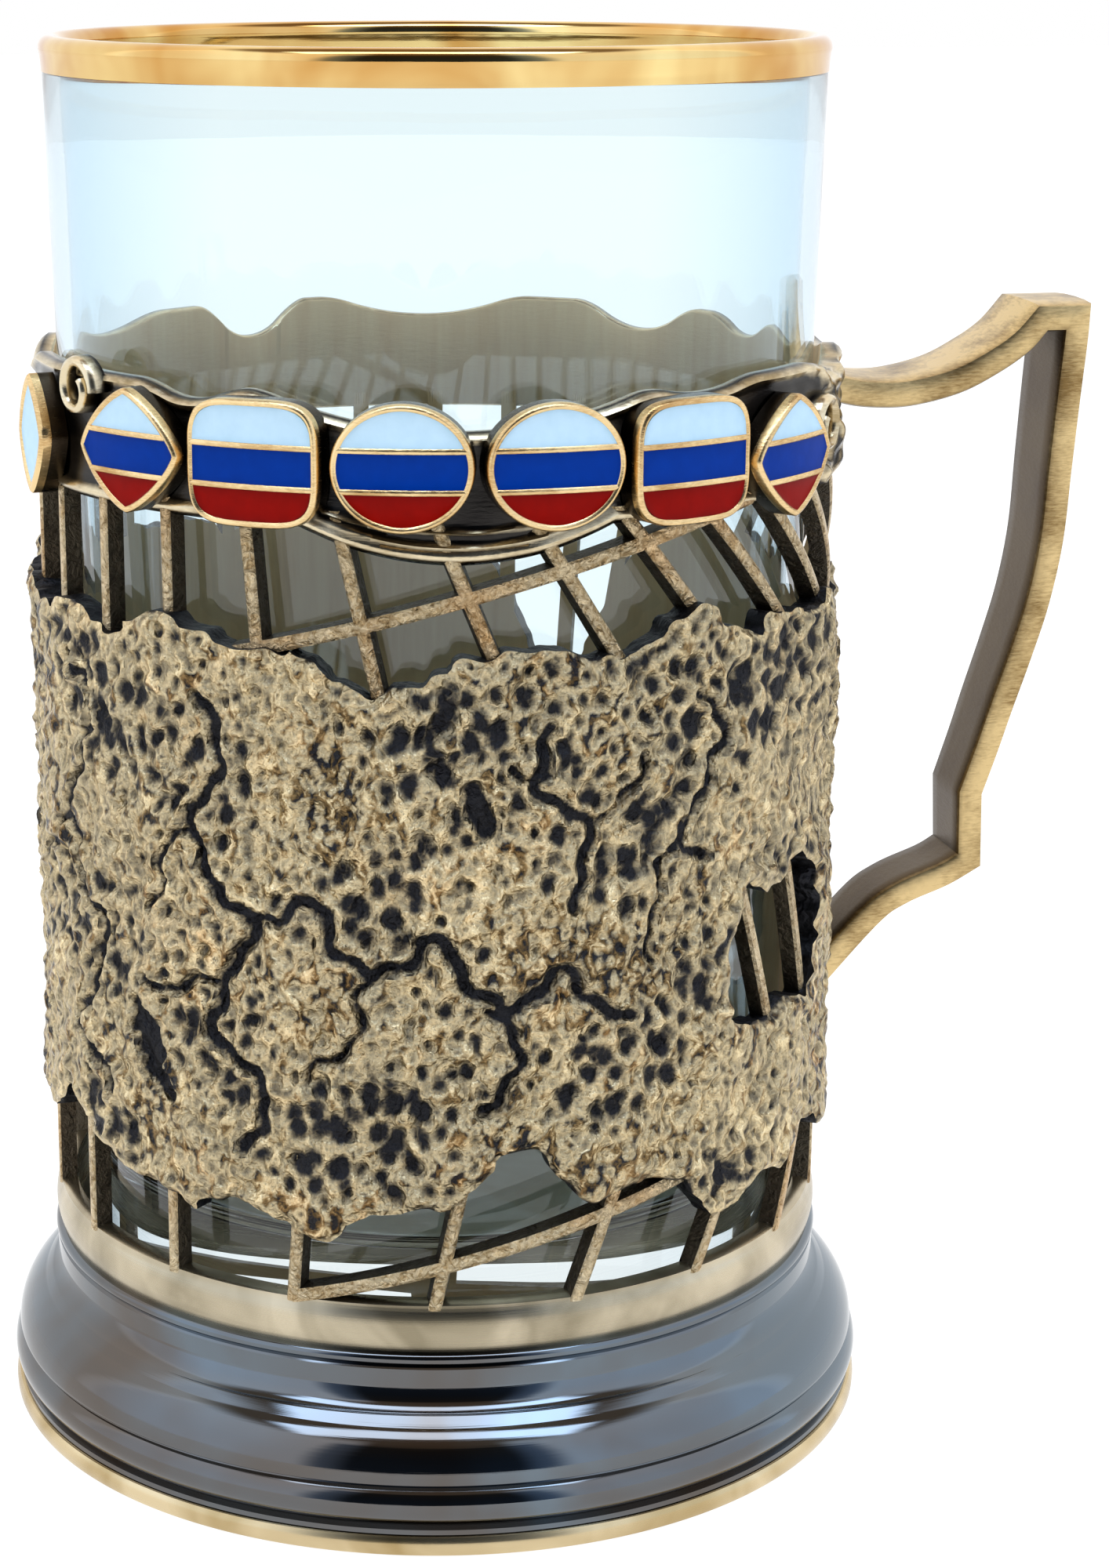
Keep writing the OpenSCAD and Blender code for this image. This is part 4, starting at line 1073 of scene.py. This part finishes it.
handle = {
    "reach": 58.5, "top": 98.4, "low": 35.0, "thick": 2.4, "widthTop": 9.6, "widthLow": 6.4, "edge": 0.45,
    "bevel": (0.12, 0.14), "crown": 0.12,
    # How far each root goes into its wall: the upper one into the band, the lower one into the relief
    "rootsIn": (1.2, 1.6), "rootsSplit": 60,
    "shares": [(-0.1, 0.925), (0.045, 0.907), (0.15, 0.9), (0.29, 0.9), (0.46, 0.914), (0.59, 0.937),
               (0.695, 0.963), (0.785, 1), (1, 1), (0.996, 0.95), (0.98, 0.868), (0.962, 0.765), (0.945, 0.662),
               (0.903, 0.571), (0.843, 0.492), (0.775, 0.413), (0.725, 0.352), (0.67, 0.29), (0.68, 0.18),
               (0.547, 0.153), (0.377, 0.128), (0.258, 0.096), (-0.02, -0.02)],
    # Points of the line that stay corners
    "corners": [7, 8, 17, 18],
    # How black the strap is round its section: its inner face, which faces the holder, is darkened as painted
    # shade, most in its middle
    "black": [0, 0, 0, 0, 0, 0, 0, 0.15, 0.4, 0.75, 0.95, 1, 0.95, 0.75, 0.4, 0.15, 0, 0],
}


def handleSection(half):
    # Across the strap, and in from its outer face
    e, thick, crown, (side, dip) = handle["edge"], handle["thick"], handle["crown"], handle["bevel"]
    return [(-half + e, 0), (-half * 0.5, -crown), (0, -crown * 1.3), (half * 0.5, -crown), (half - e, 0),
            (half - side, dip), (half, e), (half, thick - e), (half - side, thick - dip),
            (half - e, thick), (half * 0.5, thick), (0, thick), (-half * 0.5, thick), (-half + e, thick),
            (-half + side, thick - dip), (-half, thick - e), (-half, e), (-half + side, dip)]


def handleCurve(points):
    # Curves through the points of each stretch between two corners
    stops = [0] + handle["corners"] + [len(points) - 1]
    parts = [curveThrough(points[a:b + 1], 6)[:-1] for a, b in zip(stops[:-1], stops[1:])]
    return np.vstack(parts + [points[-1:]])


def makeHandle():
    low, thick, widthLow = handle["low"], handle["thick"], handle["widthLow"]
    tall = handle["top"] - low
    line = np.array([(shared["bandR"] + u * (handle["reach"] - shared["bandR"]), low + v * tall)
                     for u, v in handle["shares"]])
    runs = [run / np.linalg.norm(run) for run in np.diff(line, axis=0)]
    sides = [np.array([run[1], -run[0]]) for run in runs]
    inner = []
    for point, before, after in zip(line, sides[:1] + sides, sides + sides[-1:]):
        middle = (before + after) / np.linalg.norm(before + after)
        inner.append(point + middle * thick / middle.dot(before))
    loops = []
    for outerPoint, innerPoint in zip(handleCurve(line), handleCurve(np.array(inner))):
        through = (innerPoint - outerPoint) / thick
        share = (outerPoint[1] - low + widthLow) / (tall + widthLow)
        for y, s in handleSection((widthLow + (handle["widthTop"] - widthLow) * share) / 2):
            x, z = outerPoint + through * s
            loops.append((x, y, z))
    points = np.array(loops)
    # Both roots stop inside the wall that they are soldered to
    upperIn, lowerIn = handle["rootsIn"]
    radius = np.hypot(points[:, 0], points[:, 1])
    upper = points[:, 2] > handle["rootsSplit"]
    least = np.where(upper, shared["bandR"] - upperIn, shared["reliefR"] - lowerIn)
    points[:, 0] *= np.maximum(least / np.maximum(radius, 1e-6), 1)
    count = len(handle["black"])
    n = len(points) // count
    faces = gridFaces(n, count, closeRows=False)
    faces += [tuple(range(count))[::-1], tuple(range((n - 1) * count, n * count))]
    # The handle's inner face gets its painted shade through the corner attribute
    corners = [handle["black"][v % count] for face in faces for v in face]
    piece = makeMesh("strapHandle", points / 1000, faces, 40, corners)
    # The section runs the other way round, so every face is turned outward
    piece.data.flip_normals()
    return finishPiece(piece, "holder", handleBrass, "satin_brass", "handle")


makeHandle()
print("handle made")


# The turned foot, its ring and the plate in it

foot = {
    "segments": 320,
    # Torus, ovolo, cove, fillet and bead, then the bore and the shoulder that carries the plate
    "turnedFoot": [
        (36.82, 1.9), (38.68, 1.9), (38.68, 2.34), (37.17, 4.28, 1.95, -60, 60, 16), (38.5, 6.1), (38.46, 6.23),
        (38.62, 6.3), (33.92, 6.23, 4.76, 2, 62, 26), (36.48, 13.45, 2.46, 250, 182, 16),
        (shared["barR"] + 0.22, 13.5), (shared["barR"] + 0.22, 15.03), (shared["barR"], 15.25),
        (shared["barR"] - 0.22, 15.82, 0.57, -50, 50, 8), (shared["barR"] - 0.22, shared["hoopLow"]),
        (shared["boreR"], shared["hoopLow"]), (shared["boreR"], 11), (shared["boreR"] - 1, 11),
        (shared["boreR"] - 1, 9), (34.52, 6.67)],
    "baseRing": [(35.12, 0), (38.5, 0), (38.92, 0.15), (39.09, 0.5), (39.12, 0.95), (39.07, 1.4),
                 (38.87, 1.75), (38.4, 1.9), (35.12, 1.9)],
}

for name, *finish in [("turnedFoot", gunmetal, "gunmetal_plate", "foot"),
                      ("baseRing", ringBrass, "base_brass", "base_ring")]:
    finishPiece(lathe(name, foot[name], foot["segments"]), "holder", *finish)
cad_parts["glass_seat"].data.materials.clear()
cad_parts["glass_seat"].data.materials.append(seatBrassPaintedLight)
print("foot made")


# The loose glass and its gilded lip

gilding = {
    # How far down from the lip it reaches, its thickness, and how far it stands off the glass
    "deep": 2.9, "thick": 0.07, "off": 0.01,
}


def makeGlassPieces():
    top, floorZ = glass["seat"] + glass["height"], glass["seat"] + glass["floor"]
    lip, wall, underLip = glass["lip"], glass["wall"], top - 2.4
    lipR, lipZ = glass["neckR"] + glass["lipProud"] - lip, top - lip
    floorR = glassR(floorZ) - wall
    tumbler = lathe("teaGlass", [
        (0, 13.25), (12, 13.2), (24, 13.02), (27.5, 13), (29.0, 14.7, 1.7, -90, 0, 8),
        *[(glassR(z), z) for z in np.linspace(17, underLip, 14)], (lipR, lipZ, lip, -25, 205, 18),
        *[(glassR(z) - wall, z) for z in np.linspace(top - 3, floorZ + 4, 14)],
        *arcPoints(floorR - 3.2, floorZ + 3.2, 3.2, 0, -90, 8)[1:],
        (floorR * 0.6, floorZ - 0.15), (floorR * 0.3, floorZ - 0.5), (0, floorZ - 0.6)], sharpAngle=60)
    finishPiece(tumbler, "glass", clearGlass, "clear_glass", "glass_tumbler")
    low, thick, off = top - gilding["deep"], gilding["thick"], gilding["off"]
    gilt = lathe("gildedLip", [
        *[(glassR(z) + thick, z) for z in np.linspace(low, underLip, 3)],
        (lipR, lipZ, lip + thick, -25, 205, 24),
        *[(glassR(z) - wall - thick, z) for z in np.linspace(underLip, low, 3)],
        *[(glassR(z) - wall - off, z) for z in (low, underLip)],
        (lipR, lipZ, lip + off, 205, -25, 24),
        *[(glassR(z) + off, z) for z in (underLip, low)]], sharpAngle=60)
    finishPiece(gilt, "glass", gold, "gilding", "gilt_rim")


makeGlassPieces()
print("glass made")


# Floor, light and camera

studio = {
    # Soft windows of the room that the metal mirrors: azimuth, half width, low and high edge, strength, colour
    "windows": [(-166, 34, -10, 58, 1.35, "eaf2ff"), (-36, 34, -10, 58, 1.2, "e6f0ff"),
                (79, 72, -10, 58, 1.0, "ffffff")],
    "panel": {"wide": 0.43, "near": 0.34, "far": 0.07, "strength": 6.5, "color": "cfe4ff"},
    # The dark side of the room, behind the camera: how much of the light it takes
    "darkSide": (-101, 29, -12, 52, 0.88, "f6f0e6"),
    "sky": [(0.0, "737c88"), (0.45, "6f7175"), (0.75, "877667"), (1.0, "a08c78")], "skyStrength": 0.85,
    # Lamps for the enamel and the shadow: place, width, height, watts, colour
    "lamps": {"keyBox": ((-0.35, -0.45, 0.55), 0.35, 0.35, 1.5, "fffaf2"),
              "fillBox": ((0.5, -0.35, 0.25), 0.3, 0.45, 0.8, "eef5ff"),
              "topBox": ((0.05, 0.15, 0.7), 0.45, 0.45, 1.2, "ffffff")},
    "floorHalf": 3.0, "floorGrey": 0.86, "floorShare": 0.82, "floorWhite": 1.16,
}


def backgroundRays(tree, glossy):
    # 1 for the rays that see the white background
    rays = addNode(tree, "LightPath").node.outputs
    seen = addNode(tree, "Math ADD", (rays["Is Camera Ray"], rays["Is Transmission Ray"]), use_clamp=True)
    if glossy:
        seen = addNode(tree, "Math ADD", (seen, rays["Is Glossy Ray"]), use_clamp=True)
    return seen


def heading(azimuth):
    return math.cos(math.radians(azimuth)), math.sin(math.radians(azimuth)), 0


def tinted(strength, color):
    return tuple(strength * c for c in hexColor(color)[:3])


def softWindow(tree, flat, height, window, soft=10):
    # How much of one window a direction sees, with soft edges
    azimuth, half, low, high, strength, color = window
    across = addNode(tree, "VectorMath DOT_PRODUCT", (flat, heading(azimuth)), "Value")
    edges = [math.cos(math.radians(half + soft)), math.cos(math.radians(half))]
    share = addNode(tree, "MapRange", (across, *edges), interpolation_type="SMOOTHSTEP")
    for edge, direction in ((low, 1), (high, -1)):
        edges = [math.sin(math.radians(edge + way * soft / 2)) for way in (-direction, direction)]
        limit = addNode(tree, "MapRange", (height, *edges), interpolation_type="SMOOTHSTEP")
        share = addNode(tree, "Math MULTIPLY", (share, limit))
    return addNode(tree, "VectorMath SCALE", {0: tinted(strength, color), "Scale": share})


def makeFloor():
    half = studio["floorHalf"]
    floor = makeMesh("floor", [(-half, -half, 0), (half, -half, 0), (half, half, 0), (-half, half, 0)],
                     [(0, 1, 2, 3)])
    floor.location.z = -0.0002
    material = bpy.data.materials.new("paleFloor")
    tree = emptyTree(material)
    # The background is plain white to the camera, to glass and to metal, and the floor keeps the shadow
    share = addNode(tree, "Math MULTIPLY", (backgroundRays(tree, True), studio["floorShare"]))
    plain = addNode(tree, "BsdfDiffuse", {"Color": (studio["floorGrey"],) * 3 + (1,)})
    white = addNode(tree, "Emission", {"Color": (1, 1, 1, 1), "Strength": studio["floorWhite"]})
    addNode(tree, "OutputMaterial", {0: addNode(tree, "MixShader", (share, plain, white))})
    floor.data.materials.append(material)


def makeWorld():
    world = bpy.data.worlds.new("softStudio")
    bpy.context.scene.world = world
    tree = emptyTree(world)
    add = partial(addNode, tree)
    direction = add("TexCoord", output="Generated")
    height = add("SeparateXYZ", [direction], "Z")
    flat = add("VectorMath NORMALIZE", [add("VectorMath MULTIPLY", (direction, (1, 1, 0)))])
    sky = add("ValToRGB", [height], stops=studio["sky"])
    light = add("VectorMath SCALE", {0: sky, "Scale": studio["skyStrength"]})
    for window in studio["windows"]:
        light = add("VectorMath ADD", (light, softWindow(tree, flat, height, window)))
    # The dark side takes light away, and one bright panel hangs overhead
    shade = softWindow(tree, flat, height, studio["darkSide"], 8)
    light = add("VectorMath MULTIPLY", (light, add("VectorMath SUBTRACT", ((1, 1, 1), shade))))
    panel = studio["panel"]
    glow = add("MapRange", (height, 0.0, 0.2))
    for azimuth, low, high, blur in [(faceTurn, panel["far"], panel["near"], 0.03),
                                     (faceTurn + 90, -panel["wide"], panel["wide"], 0.04)]:
        toward = add("VectorMath DOT_PRODUCT", (direction, heading(azimuth)), "Value")
        for limit, way in ((low, 1), (high, -1)):
            inside = add("MapRange", (toward, limit - way * blur, limit + way * blur),
                         interpolation_type="SMOOTHSTEP")
            glow = add("Math MULTIPLY", (glow, inside))
    shine = add("VectorMath SCALE", {0: tinted(panel["strength"], panel["color"]), "Scale": glow})
    soft = add("Background", {"Color": add("VectorMath ADD", (light, shine))})
    white = add("Background", {"Color": (1, 1, 1, 1)})
    add("OutputWorld", [add("MixShader", (backgroundRays(tree, False), soft, white))])


def makeLamp(name, place, width, height, power, color):
    lamp = bpy.data.lights.new(name, "AREA")
    lamp.shape = "RECTANGLE"
    lamp.size, lamp.size_y = width, height
    lamp.energy = power
    lamp.color = hexColor(color)[:3]
    box = newObject(name, lamp)
    box.visible_glossy = False
    box.visible_transmission = False
    box.location = place
    aim = Vector((0, 0, 0.05)) - Vector(place)
    box.rotation_euler = aim.to_track_quat("-Z", "Y").to_euler()


makeFloor()
makeWorld()
for name, settings in studio["lamps"].items():
    makeLamp(name, *settings)

view = {"azimuth": -11.0, "pitch": 15.0, "distance": 0.282, "height": 0.1316,
        # Of the camera that was solved from the photograph, in its pixels
        "focalPx": 4131.0, "axisPx": 554.7, "photoPx": (1414, 2000)}


def makeCamera():
    wide, tall = view["photoPx"]
    data = bpy.data.cameras.new("photoCamera")
    data.sensor_width = 36
    data.lens = view["focalPx"] / tall * 36
    data.shift_x = (wide / 2 - view["axisPx"]) / tall
    data.clip_start = 0.01
    camera = newObject("photoCamera", data)
    turn = math.radians(view["azimuth"])
    camera.location = (math.sin(turn) * view["distance"], -math.cos(turn) * view["distance"], view["height"])
    camera.rotation_euler = (math.radians(90 - view["pitch"]), 0, turn)
    bpy.context.scene.camera = camera


makeCamera()
bpy.context.scene.view_settings.view_transform = "Standard"
print("scene made")
